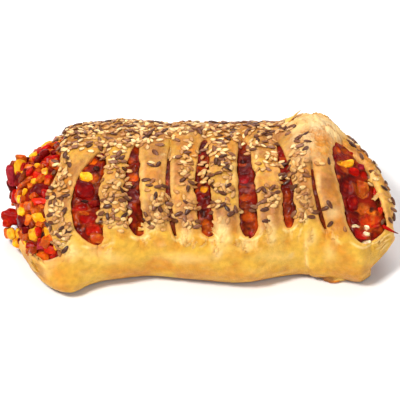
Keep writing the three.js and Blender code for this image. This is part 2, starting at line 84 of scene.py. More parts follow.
def curve(*stations):
    """A smooth curve through (position, value) stations, level beyond the first and the last."""
    at, value = np.array(stations, float).T
    slope = np.zeros(len(at))
    slope[1:-1] = (value[2:] - value[:-2]) / (at[2:] - at[:-2])

    def read(x):
        x = np.clip(x, at[0], at[-1])
        i = np.clip(np.searchsorted(at, x, side="right") - 1, 0, len(at) - 2)
        span = at[i + 1] - at[i]
        t = (x - at[i]) / span
        ease = t * t * (3 - 2 * t)
        return (value[i] * (1 - ease) + value[i + 1] * ease
                + span * t * (1 - t) * (slope[i] * (1 - t) - slope[i + 1] * t))
    return read


FRONT_REACH = curve(
    (-78, 22), (-74, 27), (-70, 34), (-65, 40), (-57, 43), (-42, 42), (-20, 38.5), (-3, 41),
    (14, 43.5), (23, 43), (32, 40), (44, 37), (55, 38.8), (62, 40.5), (70, 42), (76, 37), (85, 30))
BACK_REACH = curve(
    (-76, 29), (-62, 38), (-50, 41), (-30, 41), (0, 40.5), (20, 40), (36, 40.3), (44, 44), (50, 44),
    (57, 42), (66, 33), (74, 27), (85, 22))
CREST = curve(
    (-76, 36), (-62, 38.5), (-50, 41.5), (-30, 43), (-10, 42.5), (10, 43), (25, 42.5), (36, 43),
    (42, 45.5), (48, 47), (57, 45), (63, 40.5), (68, 37), (74, 34.5), (80, 32), (85, 29))
FOOT_FLARE = curve(
    (-75, 0), (-66, 3.8), (-57, 7.5), (-52, 6.8), (-46, 2.5), (-38, 0), (52, 0), (60, 0), (70, 0.8), (74, 0))
LEFT_RIM = curve(
    (-35, -66), (0, -62), (45, -58.5), (90, -59.3), (110, -63), (120, -64.7), (131, -65.4), (156, -61),
    (166, -57.5), (175, -63), (185, -73), (195, -77), (205, -76.5), (215, -72.5))
RIGHT_RIM = curve(
    (-35, 69), (0, 69.5), (40, 70), (60, 72.5), (86, 78.6), (114, 84.6), (137, 84.4), (155, 84.6),
    (166, 84.8), (172, 84), (177, 82.4), (182, 78), (187, 74), (195, 71.8), (205, 70.4), (215, 68.5))

# Slits: X midway between the tips, lean, bow, width, turns of the tips, and the tips' shares of the length.
SLITS = [
    dict(x=-41.5, lean=-1.4, bow=-6.1, width=12.0, front=160.5, back=88.0, tips=(0.32, 0.45)),
    dict(x=-25.2, lean=1.7, bow=-2.4, width=6.8, front=157.5, back=81.0, tips=(0.14, 0.7)),
    dict(x=-10.1, lean=2.4, bow=-2.2, width=2.2, front=157.5, back=83.0, tips=(0.2, 0.8)),
    dict(x=4.3, lean=1.5, bow=-1.9, width=6.6, front=154.0, back=76.0, tips=(0.14, 0.7)),
    dict(x=21.3, lean=2.6, bow=0.0, width=7.8, front=153.5, back=74.5, tips=(0.14, 0.7)),
    dict(x=37.2, lean=4.8, bow=1.0, width=4.8, front=153.0, back=79.0, tips=(0.14, 0.8)),
    dict(x=51.9, lean=5.8, bow=-1.4, width=2.0, front=154.5, back=102.0, tips=(0.16, 1.0)),
    dict(x=68.7, lean=11.5, bow=0.8, width=17.4, front=157.0, back=76.0, tips=(0.24, 0.45)),
]
BANDS = len(SLITS) + 1

# Colours as they look, from 0 to 255.
GOLD = (212, 164, 52)
DEEP_GOLD = (196, 132, 26)
AMBER = (198, 118, 10)
PALE = (232, 190, 90)
CREAM = (248, 216, 146)
BUTTER = (236, 180, 96)
TAN = (184, 124, 56)
TOAST = (154, 92, 40)
ROSE = (192, 126, 78)
DARK_TOAST = (122, 66, 28)
DULL = (222, 188, 136)
SESAME_TONES = [(156, 98, 46), (200, 142, 74), (226, 176, 104), (244, 206, 142), (180, 118, 58)]
LINSEED_TONES = [(84, 42, 20), (108, 60, 34), (138, 90, 62), (96, 52, 28), (62, 28, 14)]

# ---- The photograph's view ----

IMAGE = 400  # pixels along each side of the photograph
PIXELS_PER_MM = 2.3
AIM = np.array([1.3, 0.0, 15.51])  # the place in the middle of the photograph
SLANT = math.radians(40)  # how far the camera looks down
DISTANCE = 1500.0  # of the camera from the aim
SHOWN_TURN = 62.0  # the furthest turn that the photograph shows
HALVINGS = 26  # how often the search for a turn halves its range
AHEAD = np.array([0, math.cos(SLANT), -math.sin(SLANT)])
UPWARD = np.array([0, math.sin(SLANT), math.cos(SLANT)])


def seen(points):
    """Where points are in the photograph, in pixels across and down."""
    offset = points - AIM
    scale = PIXELS_PER_MM * DISTANCE / (DISTANCE + offset @ AHEAD)
    return IMAGE / 2 + offset[..., 0] * scale, IMAGE / 2 - (offset @ UPWARD) * scale


def place_seen(across, down):
    """X and turn of the place on the roll that is seen at a pixel."""
    across, down = np.broadcast_arrays(np.asarray(across, float), np.asarray(down, float))
    x = AIM[0] + (across - IMAGE / 2) / PIXELS_PER_MM
    low, high = np.full_like(x, SHOWN_TURN), np.full_like(x, 180 + FLOOR_TURN)
    for _ in range(HALVINGS):
        turn = (low + high) / 2
        u, v = seen(roll_point(x, turn, 0))
        low, high = np.where(v < down, turn, low), np.where(v < down, high, turn)
        x = x + (across - u) / PIXELS_PER_MM
    return x, turn


# ---- Repeatable randomness and noise ----


def scatter(n):
    """A repeatable number from 0 to 1 for each number."""
    value = np.sin(np.asarray(n, float) * 127.1 + 311.7) * 43758.5453
    return value - np.floor(value)


def lattice(cell, seed):
    """A repeatable number from 0 to 1 for each whole-numbered point of space."""
    h = (cell[..., 0].astype(np.int64) * 374761393 + cell[..., 1].astype(np.int64) * 668265263
         + cell[..., 2].astype(np.int64) * 1274126177 + seed * 974711) & 0xFFFFFFFF
    h = ((h ^ (h >> 13)) * 1274126177) & 0xFFFFFFFF
    h = ((h ^ (h >> 16)) * 668265263) & 0xFFFFFFFF
    return (h ^ (h >> 15)) / 4294967296.0


def noise(points, size, seed=0):
    """Smooth noise from -1 to 1 with features of that size, one number or one for each axis."""
    p = points / np.asarray(size, float)
    cell = np.floor(p)
    t = p - cell
    t = t * t * t * (t * (t * 6 - 15) + 10)
    total = 0.0
    for corner in np.ndindex(2, 2, 2):
        weight = np.prod(np.where(np.array(corner), t, 1 - t), axis=-1)
        total = total + weight * lattice(cell + np.array(corner), seed)
    return total * 2 - 1


def layered(points, size, octaves=3, seed=0):
    """Noise with finer noise added on top, from about -1 to 1."""
    total, weight, whole = 0.0, 1.0, 0.0
    for k in range(octaves):
        total = total + weight * noise(points, np.asarray(size, float) / 2.03 ** k, seed + 17 * k)
        whole += weight
        weight *= 0.5
    return total / whole * 1.35


def cells(points, size, seed=0):
    """Distance to the nearest of scattered points, in cell sizes."""
    p = points / np.asarray(size, float)
    base = np.floor(p)
    nearest = np.full(p.shape[:-1], 9.0)
    for step in np.ndindex(3, 3, 3):
        cell = base + np.array(step) - 1
        spot = cell + np.stack([lattice(cell, seed + k) for k in range(3)], -1)
        nearest = np.minimum(nearest, np.linalg.norm(p - spot, axis=-1))
    return nearest


def smooth(value):
    """A value from 0 to 1, eased so that it starts and ends gently."""
    t = np.clip(value, 0, 1)
    return t * t * (3 - 2 * t)


def ramp(value, start, end):
    """0 up to the start, 1 from the end on, and a gentle step between; the end may be the smaller one."""
    return smooth((value - start) / (end - start))


def linear(colour):
    """The light of a colour given from 0 to 255."""
    c = np.asarray(colour, float) / 255
    return np.where(c <= 0.04045, c / 12.92, ((c + 0.055) / 1.055) ** 2.4)


def mixed(first, second, share):
    """Colours part of the way from the first to the second."""
    return first + (second - first) * np.asarray(share)[..., None]


def between(limits, share):
    """The value at a share of the way from one limit to the other."""
    return limits[0] + (limits[1] - limits[0]) * share


def within(value, limits):
    """Whether each value lies between two limits."""
    return (value > limits[0]) & (value < limits[1])


# ---- The roll's surface ----


def roll_point(x, turn, depth):
    """Points at X and turn, depth millimetres inside the smooth roll."""
    x, turn, depth = np.broadcast_arrays(*(np.asarray(v, float) for v in (x, turn, depth)))
    c, s = np.cos(np.radians(turn)), np.sin(np.radians(turn))
    flare = FOOT_FLARE(x) * ramp(turn, *FOOT_TURNS)
    reach = np.where(c < 0, FRONT_REACH(x) + flare, BACK_REACH(x)) - depth
    y = reach * np.sign(c) * np.abs(c) ** SQUARENESS
    above = BELLY + (CREST(x) - depth - BELLY) * np.abs(s) ** SQUARENESS
    below = BELLY - (BELLY - np.maximum(depth, 0)) * np.abs(s) / math.sin(math.radians(FLOOR_TURN))
    return np.stack([x, y, np.where(s > 0, above, below)], -1)


def base_point(x, share, depth):
    """Points on the base, share of the way from its back edge to its front edge."""
    back = roll_point(x, -FLOOR_TURN, depth)
    front = roll_point(x, 180 + FLOOR_TURN, depth)
    return back + (front - back) * np.asarray(share)[..., None]


def tip_share(share):
    """The width of a round tip at a share of its length."""
    return np.sqrt(1 - (1 - np.clip(share, 0, 1)) ** 2)


def slit_at(slit, turn):
    """Centre and half width of a slit at a turn."""
    along = np.clip((slit["front"] - turn) / (slit["front"] - slit["back"]), 0, 1)
    centre = slit["x"] + slit["lean"] * (0.5 - along) + slit["bow"] * 4 * along * (1 - along)
    half = slit["width"] / 2 * tip_share(along / slit["tips"][0]) * tip_share((1 - along) / slit["tips"][1])
    return centre, np.where(half < 0.1, 0, half)


def slit_shows(slit, turn):
    """1 along a slit, fading to 0 past its tips."""
    beyond = np.maximum(np.maximum(turn - slit["front"], slit["back"] - turn), 0)
    return 1 - smooth(beyond / CREASE_FADE)


def edge_drop(distance, width):
    """How far the sheet rolls down towards a cut: gently, then to a crisp corner."""
    across = 1 - np.clip(distance / width, 0, 1)
    return 0.4 * (1 - np.sqrt(1 - across * across)) + 0.35 * across ** 3


def edge_wobble(turn, number):
    """How far a slit's edge strays from its smooth line, in millimetres."""
    line = np.stack([np.full_like(turn, number * 37.0), turn * WALL_PER_TURN, np.zeros_like(turn)], -1)
    return 0.55 * noise(line, 5.0, 3) + 0.3 * noise(line, 1.9, 4)


def band_edges(band, turn):
    """X of a band's edges, how much each shows as a rolled edge, its rounding, and how open it is."""
    turn = np.asarray(turn, float)
    sides = []
    for side, slit in ((-1, band - 1), (1, band)):
        if 0 <= slit < len(SLITS):
            centre, half = slit_at(SLITS[slit], turn)
            wobble = edge_wobble(turn, slit * 2 + (side > 0)) * smooth(half / 3)
            sides.append((centre - side * np.maximum(half - wobble, 0), slit_shows(SLITS[slit], turn),
                          EDGE_ROUND, smooth(half / 0.9)))
        else:
            rim = (LEFT_RIM if side < 0 else RIGHT_RIM)(turn)
            wobble = edge_wobble(turn, 40 + side) * 0.9
            sides.append((rim - side * (RIM_SET_BACK + wobble * 0.6), np.ones_like(turn), RIM_ROUND,
                          np.ones_like(turn)))
    return sides


def band_at(x, turn):
    """The number of the band that holds each point."""
    return sum((x > slit_at(slit, turn)[0]).astype(int) for slit in SLITS)


def lumps(x, turn):
    """The roll's gentle unevenness, as the solids have it."""
    return 0.35 * np.sin(x * 0.21 + turn * 0.045) + 0.3 * np.sin(x * 0.11 - turn * 0.083 + 2)


def fold_rise(x, turn):
    """How far the sheet's end stands up along its fold at the front right."""
    start = FOLD["x"] + (turn - 180) * FOLD["lean"] + 0.5 * np.sin(turn * 0.3)
    across = smooth((x - start) / FOLD["width"]) * (1 - smooth((x - start) / (FOLD["end"] - start)))
    return FOLD["rise"] * across * smooth((turn - FOLD["top"]) / 8)


def crust_depth(x, turn, sides):
    """Depth of the pastry's outer surface, without its fine relief."""
    (left, left_shows, left_round, _), (right, right_shows, right_round, _) = sides
    half = (right - left) / 2
    drop = (left_shows * edge_drop(x - left, np.minimum(left_round, half))
            + right_shows * edge_drop(right - x, np.minimum(right_round, half)))
    from_front, from_back = 180 + FLOOR_TURN - turn, turn + FLOOR_TURN
    on_wall = np.clip(from_back / LUMP_FADE, 0, 1) * np.clip(from_front / LUMP_FADE, 0, 1)
    swell = LIFT + lumps(x, turn) * on_wall + fold_rise(x, turn)
    return (swell + SINK) * drop - swell


# Parts of the crust: the X, and the turns, between which each fades in.
FLAKY_BULGE = {"x": [(36, 46)], "turn": [(100, 75), (-20, 0)]}
CRUMBLY_BULGE = {"x": [(36, 44)], "turn": [(108, 86)]}
CRUMBLY_TOP = {"x": [], "turn": [(152, 140)]}
DULL_BULGE = {"x": [(35, 44), (66, 58)], "turn": [(112, 90)]}
TOP = {"x": [], "turn": [(155, 142), (5, 35)]}
HIDDEN_SIDE = {"x": [], "turn": [(66, 52)]}
FOOT_FRONT, FOOT_BACK = (204, 212), (-24, -32)
ROSY = (-30, -20)
BASE_FADE = 8  # degrees above the base over which the relief fades in
RIM_FLAKES = 9.0  # how far in from the ends the crust is flaky
TIP_FLAKES = {"right": 3.5, "below": 1, "wide": 6.5, "high": 9.0}  # the torn patch at a slit's front tip


def in_part(x, turn, part):
    """1 within a part of the crust, fading to 0 outside it."""
    share = np.ones(np.broadcast(x, turn).shape)
    for value, fades in ((x, part["x"]), (turn, part["turn"])):
        for fade in fades:
            share = share * ramp(value, *fade)
    return share


def near_tips(x, turn):
    """1 round the front tips of the slits, where the sheet tore into flakes, fading to 0."""
    total = np.zeros(np.broadcast(x, turn).shape)
    for slit in SLITS[:-1]:
        centre, _ = slit_at(slit, np.full_like(total, slit["front"]))
        across = (x - centre - TIP_FLAKES["right"]) / TIP_FLAKES["wide"]
        down = (turn - slit["front"] - TIP_FLAKES["below"]) * WALL_PER_TURN / TIP_FLAKES["high"]
        total = np.maximum(total, 1 - smooth(np.hypot(across, down)))
    return total


def below_tips(x, turn):
    """1 along the rim just below each slit's front tip, fading to 0."""
    total = np.zeros(np.broadcast(x, turn).shape)
    for slit in SLITS:
        centre, _ = slit_at(slit, np.full_like(total, slit["front"]))
        across = np.abs(x - centre) / (0.4 * slit["width"] + 0.8)
        rim = slit["front"] + 1.6 - 3.0 * np.clip(across, 0, 1) ** 2
        total = np.maximum(total, smooth(1 - np.abs(turn - rim) / 1.8) * ramp(across, 1.4, 0.9))
    return total


def flakiness(x, turn):
    """Where the crust breaks into thin layers: under the slits, on the back bulge and along the rims."""
    bulge = in_part(x, turn, FLAKY_BULGE)
    rims = 1 - smooth(np.minimum(x - LEFT_RIM(turn), RIGHT_RIM(turn) - x) / RIM_FLAKES)
    return np.clip(np.maximum(np.maximum(near_tips(x, turn), bulge * 0.9), rims * 0.7), 0, 1)


def relief(points, x, turn):
    """Height of the crust's soft lumps, blisters and torn layers, and where the layers' torn edges are."""
    soft = 0.3 * layered(points, 15, 2, 5) + 0.22 * layered(points, 5.5, 3, 6)
    blisters = 0.34 * smooth(1 - cells(points, 6.0, 7) * 1.7) + 0.16 * smooth(1 - cells(points, 2.6, 8) * 1.6)
    level = (layered(points, (4.6, 8, 8), 4, 9) + 1) * 2.9
    share = level - np.floor(level)
    step = np.floor(level) + ramp(share, 0.8, 1)
    flaky = flakiness(x, turn)
    torn = flaky * smooth(1 - np.abs(share - 0.84) / 0.1)
    bulge = in_part(x, turn, CRUMBLY_BULGE)
    layer = 0.06 + 0.34 * flaky + 0.35 * bulge
    crumbs = 0.32 * bulge + 0.17 * in_part(x, turn, CRUMBLY_TOP)
    crumbly = crumbs * layered(points, (2.6, 1.7, 1.7), 3, 10)
    height = soft + blisters * (1 - 0.5 * flaky) + (step - level) * layer + crumbly - 0.22
    return height, torn


# ---- Meshes ----


def link(obj):
    """Puts an object in the scene."""
    bpy.context.scene.collection.objects.link(obj)


def new_object(name, points, faces, material, tone=None, crease=None):
    """An object that rides on the root, made from points in millimetres.

    tone is a colour for each point, and crease the angle in degrees from which an edge stays sharp.
    """
    mesh = bpy.data.meshes.new(name)
    mesh.from_pydata(((points - MIDDLE) * MM).tolist(), [], faces)
    if tone is not None:
        layer = mesh.color_attributes.new("tone", "FLOAT_COLOR", "POINT")
        colours = np.ones((len(points), 4), np.float32)
        colours[:, :3] = tone
        layer.data.foreach_set("color", colours.ravel())
    mesh.shade_smooth()
    if crease:
        mesh.set_sharp_from_angle(angle=math.radians(crease))
    mesh.materials.append(material)
    obj = bpy.data.objects.new(name, mesh)
    link(obj)
    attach(obj, "root")
    return obj


def weld(obj, distance=0.02):
    """Joins points that lie on each other and drops what has no area."""
    shell = bmesh.new()
    shell.from_mesh(obj.data)
    bmesh.ops.remove_doubles(shell, verts=shell.verts, dist=distance * MM)
    bmesh.ops.dissolve_degenerate(shell, edges=shell.edges, dist=distance * 0.1 * MM)
    shell.to_mesh(obj.data)
    shell.free()
    obj.data.update()


def grid_faces(rows, columns, close_rows=False, close_columns=False):
    """The corner numbers of a grid's quads."""
    r = np.arange(rows if close_rows else rows - 1)
    c = np.arange(columns if close_columns else columns - 1)
    r, c = np.meshgrid(r, c, indexing="ij")
    here, below, beside = r * columns, (r + 1) % rows * columns, (c + 1) % columns
    return np.stack([here + c, here + beside, below + beside, below + c], -1).reshape(-1, 4)


class Batch:
    """Many small closed forms that become one mesh."""

    def __init__(self):
        self.points, self.faces, self.tones, self.count = [], [], [], 0

    def add(self, points, faces, tone):
        self.points.append(points)
        self.faces.append(np.asarray(faces) + self.count)
        self.tones.append(np.broadcast_to(tone, points.shape))
        self.count += len(points)

    def make(self, name, material, slot, crease=None):
        faces = [tuple(face) for block in self.faces for face in block.tolist()]
        return new_object(name, np.concatenate(self.points), faces, material,
                          np.concatenate(self.tones), crease)


def cube_grid(side):
    """The surface of a cube from -1 to 1 as a welded grid."""
    line = np.linspace(-1, 1, side + 1)
    index, points, faces = {}, [], []
    for axis in range(3):
        for sign in (-1, 1):
            for a, b in np.ndindex(side, side):
                quad = []
                for da, db in ((0, 0), (1, 0), (1, 1), (0, 1)):
                    spot = [0, 0, 0]
                    spot[axis] = sign
                    spot[(axis + 1) % 3], spot[(axis + 2) % 3] = line[a + da], line[b + db]
                    key = tuple(round(c, 6) for c in spot)
                    quad.append(index.setdefault(key, len(index)))
                    if quad[-1] == len(points):
                        points.append(key)
                faces.append(tuple(quad if sign > 0 else quad[::-1]))
    return np.array(points), faces


CUBES = {side: cube_grid(side) for side in (6, 8)}


# ---- The pastry ----

FINE_TURNS = 4000  # how many turns the rows' spacing is measured with
MEASURED_X = 5.0  # and where along the roll
ROW_STEP = 0.55
BACK_ROW_SHARE = 1.7  # how many times further apart the rows are where the photograph doesn't show them
COLUMN_STEP = 0.6
BASE_ROWS = 24
WALL_COLUMNS = 5
WALL_FOOT = 5.3  # how deep the cut walls go, into the filling
# The columns of an open end: share of the sheet's thickness, and how far in they are.
RIM_STEPS = [(0.35, -0.1), (0.7, 0.1), (1.0, 0.4), (1.02, 3.0), (1.03, 9.0)]
CUT_BLEND = 2.4  # how far from a cut the butter-coloured edge reaches


def wall_turns():
    """Turns of the rows: evenly along the wall that shows, coarser at the back."""
    fine = np.linspace(180 + FLOOR_TURN, -FLOOR_TURN, FINE_TURNS)
    points = roll_point(np.full_like(fine, MEASURED_X), fine, 0)
    length = np.concatenate([[0], np.cumsum(np.linalg.norm(np.diff(points, axis=0), axis=1))])
    density = np.where(fine[:-1] > SHOWN_TURN, 1, 1 / BACK_ROW_SHARE) / ROW_STEP * np.diff(length)
    rows = np.concatenate([[0], np.cumsum(density)])
    return np.interp(np.linspace(0, rows[-1], int(rows[-1]) + 1), rows, fine)


# Patches of the crust in the photograph: tint, pixels across and down, the reach both ways, and strength.
PATCHES = [
    # browned hollows and shoulders, and darker bands low on the front wall: partly browning, partly painted
    # shade
    (AMBER, 123, 234, 9, 8, 0.9), (AMBER, 158, 241, 12, 9, 1.0), (AMBER, 198, 239, 12, 7, 0.6),
    (AMBER, 235, 230, 5, 8, 0.7), (AMBER, 341, 231, 13, 9, 0.8), (AMBER, 181, 200, 8, 9, 0.7),
    (AMBER, 55, 272, 16, 8, 0.6), (AMBER, 94, 236, 10, 8, 0.4), (AMBER, 262, 244, 8, 6, 0.4),
    (AMBER, 322, 248, 10, 8, 0.35), (AMBER, 336, 146, 8, 10, 0.5), (AMBER, 345, 256, 12, 10, 0.45),
    (AMBER, 82, 152, 14, 6, 0.6), (AMBER, 150, 172, 6, 12, 0.5), (AMBER, 142, 128, 18, 4, 0.4),
    (AMBER, 230, 274, 60, 6, 0.5), (AMBER, 130, 270, 50, 6, 0.4), (AMBER, 320, 268, 40, 8, 0.4),
    (TOAST, 157, 155, 10, 12, 0.75), (TOAST, 328, 182, 9, 26, 0.9), (TOAST, 178, 168, 8, 22, 0.55),
    (TOAST, 265, 178, 8, 12, 0.5), (TOAST, 297, 205, 8, 16, 0.5), (TOAST, 371, 250, 14, 8, 0.4),
    (TOAST, 30, 256, 5, 4, 0.8), (DARK_TOAST, 37, 262, 3, 6, 1.0), (DARK_TOAST, 42, 271, 3, 6, 1.0),
    (DARK_TOAST, 35, 273, 8, 2.5, 1.0), (CREAM, 47, 272, 5, 5, 0.6), (TOAST, 64, 205, 5, 22, 0.3),
    (TOAST, 216, 190, 8, 30, 0.4), (TOAST, 116, 190, 12, 26, 0.4), (GOLD, 352, 140, 10, 10, 0.5),
    (TOAST, 90, 126, 30, 5, 0.4),
    # pale torn layers, and painted highlight on high spots and low on the front wall
    (CREAM, 71, 250, 11, 13, 1.0), (CREAM, 48, 264, 10, 7, 0.5), (CREAM, 92, 252, 20, 7, 0.4),
    (CREAM, 120, 224, 9, 4, 0.7), (CREAM, 150, 227, 10, 5, 0.7), (CREAM, 186, 236, 8, 10, 0.65),
    (CREAM, 222, 234, 9, 18, 0.8), (CREAM, 217, 252, 8, 8, 0.6), (CREAM, 246, 246, 10, 7, 0.65),
    (CREAM, 272, 234, 6, 14, 0.6), (CREAM, 311, 236, 8, 10, 0.55), (CREAM, 306, 254, 3, 18, 0.5),
    (CREAM, 316, 118, 24, 8, 0.5), (CREAM, 336, 134, 10, 8, 0.3), (CREAM, 334, 214, 10, 8, 0.6),
    (CREAM, 345, 190, 4, 30, 0.5), (CREAM, 143, 190, 3, 40, 0.6), (CREAM, 172, 180, 3, 40, 0.4),
    (CREAM, 235, 170, 3, 30, 0.5), (CREAM, 256, 170, 3, 40, 0.6), (CREAM, 296, 190, 4, 30, 0.5),
    (CREAM, 318, 178, 4, 24, 0.5), (CREAM, 58, 205, 5, 20, 0.6), (CREAM, 185, 258, 36, 7, 0.45),
    (CREAM, 110, 258, 22, 7, 0.35), (CREAM, 275, 256, 24, 8, 0.3), (CREAM, 330, 252, 8, 12, 0.35),
    (CREAM, 186, 133, 14, 5, 0.5), (CREAM, 376, 200, 4, 30, 0.4), (CREAM, 382, 244, 7, 8, 0.5),
]
# Pixels across and down, the reach both ways, and how far the crust swells or sinks, in mm.
PUFFS = [
    (32, 262, 4, 7, 0.5), (39, 266, 2.4, 8, -0.8), (46, 268, 4, 7, 0.4), (123, 231, 11, 10, 1.0),
    (158, 237, 13, 11, 1.1), (188, 236, 9, 10, 0.5), (226, 236, 12, 11, 0.8), (264, 238, 12, 10, 0.8),
    (305, 236, 9, 10, 0.6), (341, 232, 13, 11, 0.9), (76, 247, 9, 9, 0.5), (98, 252, 9, 7, -0.5),
    (141, 248, 8, 8, -0.6), (175, 246, 6, 8, -0.5), (208, 246, 7, 8, -0.6), (249, 246, 7, 8, -0.5),
    (288, 242, 6, 8, -0.5), (322, 242, 6, 8, -0.6), (50, 262, 9, 7, -0.5), (160, 262, 20, 8, -0.5),
    (262, 262, 20, 8, -0.4), (92, 268, 16, 7, -0.4), (345, 262, 12, 8, 0.4),
]


def reach_share(u, v, across, down, wide, high):
    """1 in the middle of a patch of the photograph, fading to 0 at its edge."""
    return 1 - smooth(np.hypot((u - across) / wide, (v - down) / high) / 1.25)


def puff(points, turn):
    """How far the crust swells or sinks at each of its points."""
    u, v = seen(points)
    total = np.zeros_like(u)
    for across, down, wide, high, height in PUFFS:
        total += height * reach_share(u, v, across, down, wide, high)
    return total * (turn > SHOWN_TURN)


def beside_cut(x, sides):
    """1 at the edge of an open cut, fading to 0 a little way in."""
    (left, _, _, left_open), (right, _, _, right_open) = sides
    return np.maximum(left_open * smooth(1 - (x - left) / CUT_BLEND),
                      right_open * smooth(1 - (right - x) / CUT_BLEND))


def patched(tone, points, turn, fine, blotch):
    """The photograph's browned and pale patches, with painted shade and highlight among them, laid over a
    tone, with uneven edges.
    """
    u, v = seen(points)
    strong = (turn > SHOWN_TURN) * (0.4 + 0.5 * smooth(0.6 + fine + blotch * 0.4))
    for tint, across, down, wide, high, strength in PATCHES:
        share = reach_share(u + 2.2 * fine, v + 1.5 * blotch, across, down, wide, high)
        tone = mixed(tone, linear(tint), share * strength * strong)
    return tone


def crust_tone(points, x, turn, height, torn, cut_edge, wall):
    """The baked colour of the crust, redder where darker, with painted shade in hollows and painted highlight
    on high spots.
    """
    gold, deep, pale, cream, butter, tan, toast, rose, dark, amber, dull = (
        linear(c) for c in (GOLD, DEEP_GOLD, PALE, CREAM, BUTTER, TAN, TOAST, ROSE, DARK_TOAST, AMBER, DULL))
    on_top, bulge, hidden = (in_part(x, turn, part) for part in (TOP, DULL_BULGE, HIDDEN_SIDE))
    foot = np.clip(ramp(turn, *FOOT_FRONT) + ramp(turn, *FOOT_BACK), 0, 1)
    blotch = layered(points, 11, 4, 21)
    fine = layered(points, 2.6, 3, 22) * (0.35 + 0.65 * on_top)
    streak = layered(points, (17, 6, 6), 3, 27)
    tone = mixed(gold, deep, smooth(0.3 + streak * 0.8 + blotch * 0.6 + (turn - 175) * 0.012) * 0.8)
    tone = mixed(tone, mixed(pale, butter, on_top), smooth(fine * 1.2 + streak * 0.9 - 0.05) * 0.55)
    baked = [
        # the strips on top
        (tan, on_top * np.clip(0.45 + 0.4 * fine + 0.3 * blotch, 0, 0.9)),
        (toast, on_top * smooth(0.6 + blotch * 0.9 - fine * 0.7) * 0.75),
        (rose, on_top * (0.22 + 0.28 * ramp(x, *ROSY))
         * smooth(layered(points, 2.0, 3, 25) * 2.0 + 0.1)),
        # the back bulge and the side that the photograph doesn't show
        (dull, bulge * smooth(0.75 + blotch * 0.8) * 0.85),
        (tan, bulge * smooth(layered(points, 1.9, 3, 30) * 1.8 - 0.3) * 0.4),
        (deep, hidden * 0.4),
        (tan, hidden * (0.4 + 0.3 * streak)),
        (amber, hidden * smooth(layered(points, (13, 9, 9), 3, 28) * 1.7 - 0.15) * 0.6),
        (cream, hidden * smooth(layered(points, (16, 6, 6), 3, 29) * 1.7 - 0.2) * 0.6),
        # torn streaks and rims under the slits, then painted shade in the hollows and painted highlight on
        # the high spots
        (cream, near_tips(x, turn) * smooth(layered(points, (1.6, 5, 5), 3, 24) * 3 - 0.3) * 0.6),
        (cream, below_tips(x, turn) * 0.7),
        (amber, smooth(-height * 1.8 - 0.15) * 0.75),
        (cream, smooth(height * 1.9 - 0.3) * 0.5),
    ]
    for tint, share in baked:
        tone = mixed(tone, tint, share)
    tone = patched(tone, points, turn, fine, blotch)
    tone = mixed(mixed(tone, toast, torn * 0.6), butter, cut_edge * 0.6)
    tone = tone * (1 + (0.04 + 0.1 * on_top) * layered(points, 1.3, 2, 26))[..., None]
    return mixed(mixed(tone, dark, foot * 0.6), cream, np.clip(wall, 0, 1) ** 0.4 * 0.8)


def edge_columns(sides, side, turn):
    """X and depth of the columns that run from a band's outer edge down its cut side, and a wall share."""
    x, _, _, is_open = sides[side]
    inwards = 1 if side == 0 else -1
    edge_depth = crust_depth(x, turn, sides)
    columns = []
    for k in range(1, WALL_COLUMNS + 1):
        share = k / WALL_COLUMNS
        layers = noise(np.stack([turn * 0.25, share * 9 + x * 0, x * 0], -1), 1.0, 31 + side) * 0.3
        columns.append((x + inwards * (0.5 * share + layers * min(1, 2 * share)) * is_open,
                        edge_depth + (WALL_FOOT - edge_depth) * share * is_open, share * is_open))
    return columns


def rim_columns(sides, side, turn):
    """The same for an open end: down the sheet's edge and a little way along its inner face."""
    x = sides[side][0]
    inwards = 1 if side == 0 else -1
    edge_depth = crust_depth(x, turn, sides)
    columns = []
    for k, (share, inset) in enumerate(RIM_STEPS):
        layers = 0.35 * noise(np.stack([turn * 0.3, x * 0 + k * 3.7, x * 0], -1), 1.0, 41 + side)
        columns.append((x + inwards * (inset + layers), edge_depth + (SHEET - edge_depth) * share,
                        np.full_like(turn, min(1.0, share * 0.7))))
    return columns


def row_turns():
    """Each row's turn and, for the rows on the base, its share of the way from the back to the front."""
    turns = wall_turns()
    shares = np.linspace(0, 1, BASE_ROWS + 2)[1:-1]
    turn = np.concatenate([turns, np.where(shares < 0.5, -FLOOR_TURN, 180 + FLOOR_TURN)])
    return turn, np.concatenate([np.full(len(turns), np.nan), shares])


def sheet_edges(band, turn, share):
    """A band's edges along all rows: on the base they run straight from its back to its front."""
    on_base = ~np.isnan(share)
    back = np.flatnonzero(~on_base)[-1]
    sides = []
    for edge, *rest in band_edges(band, turn):
        edge = np.array(edge)
        edge[on_base] = edge[back] + (edge[0] - edge[back]) * share[on_base]
        sides.append((edge, *rest))
    return sides


def band_columns(band, turn, sides):
    """X, depth and wall share of a band's columns, from the foot of its left wall to that of its right."""
    left, right = sides[0][0], sides[1][0]
    count = int(np.max(right - left) / COLUMN_STEP)
    columns = []
    for k in range(count + 1):
        share = 0.35 * (0.5 - 0.5 * math.cos(math.pi * k / count)) + 0.65 * k / count
        x = left + (right - left) * share
        columns.append((x, crust_depth(x, turn, sides), np.zeros_like(turn)))
    first = rim_columns(sides, 0, turn) if band == 0 else edge_columns(sides, 0, turn)
    last = rim_columns(sides, 1, turn) if band == BANDS - 1 else edge_columns(sides, 1, turn)
    return first[::-1] + columns + last


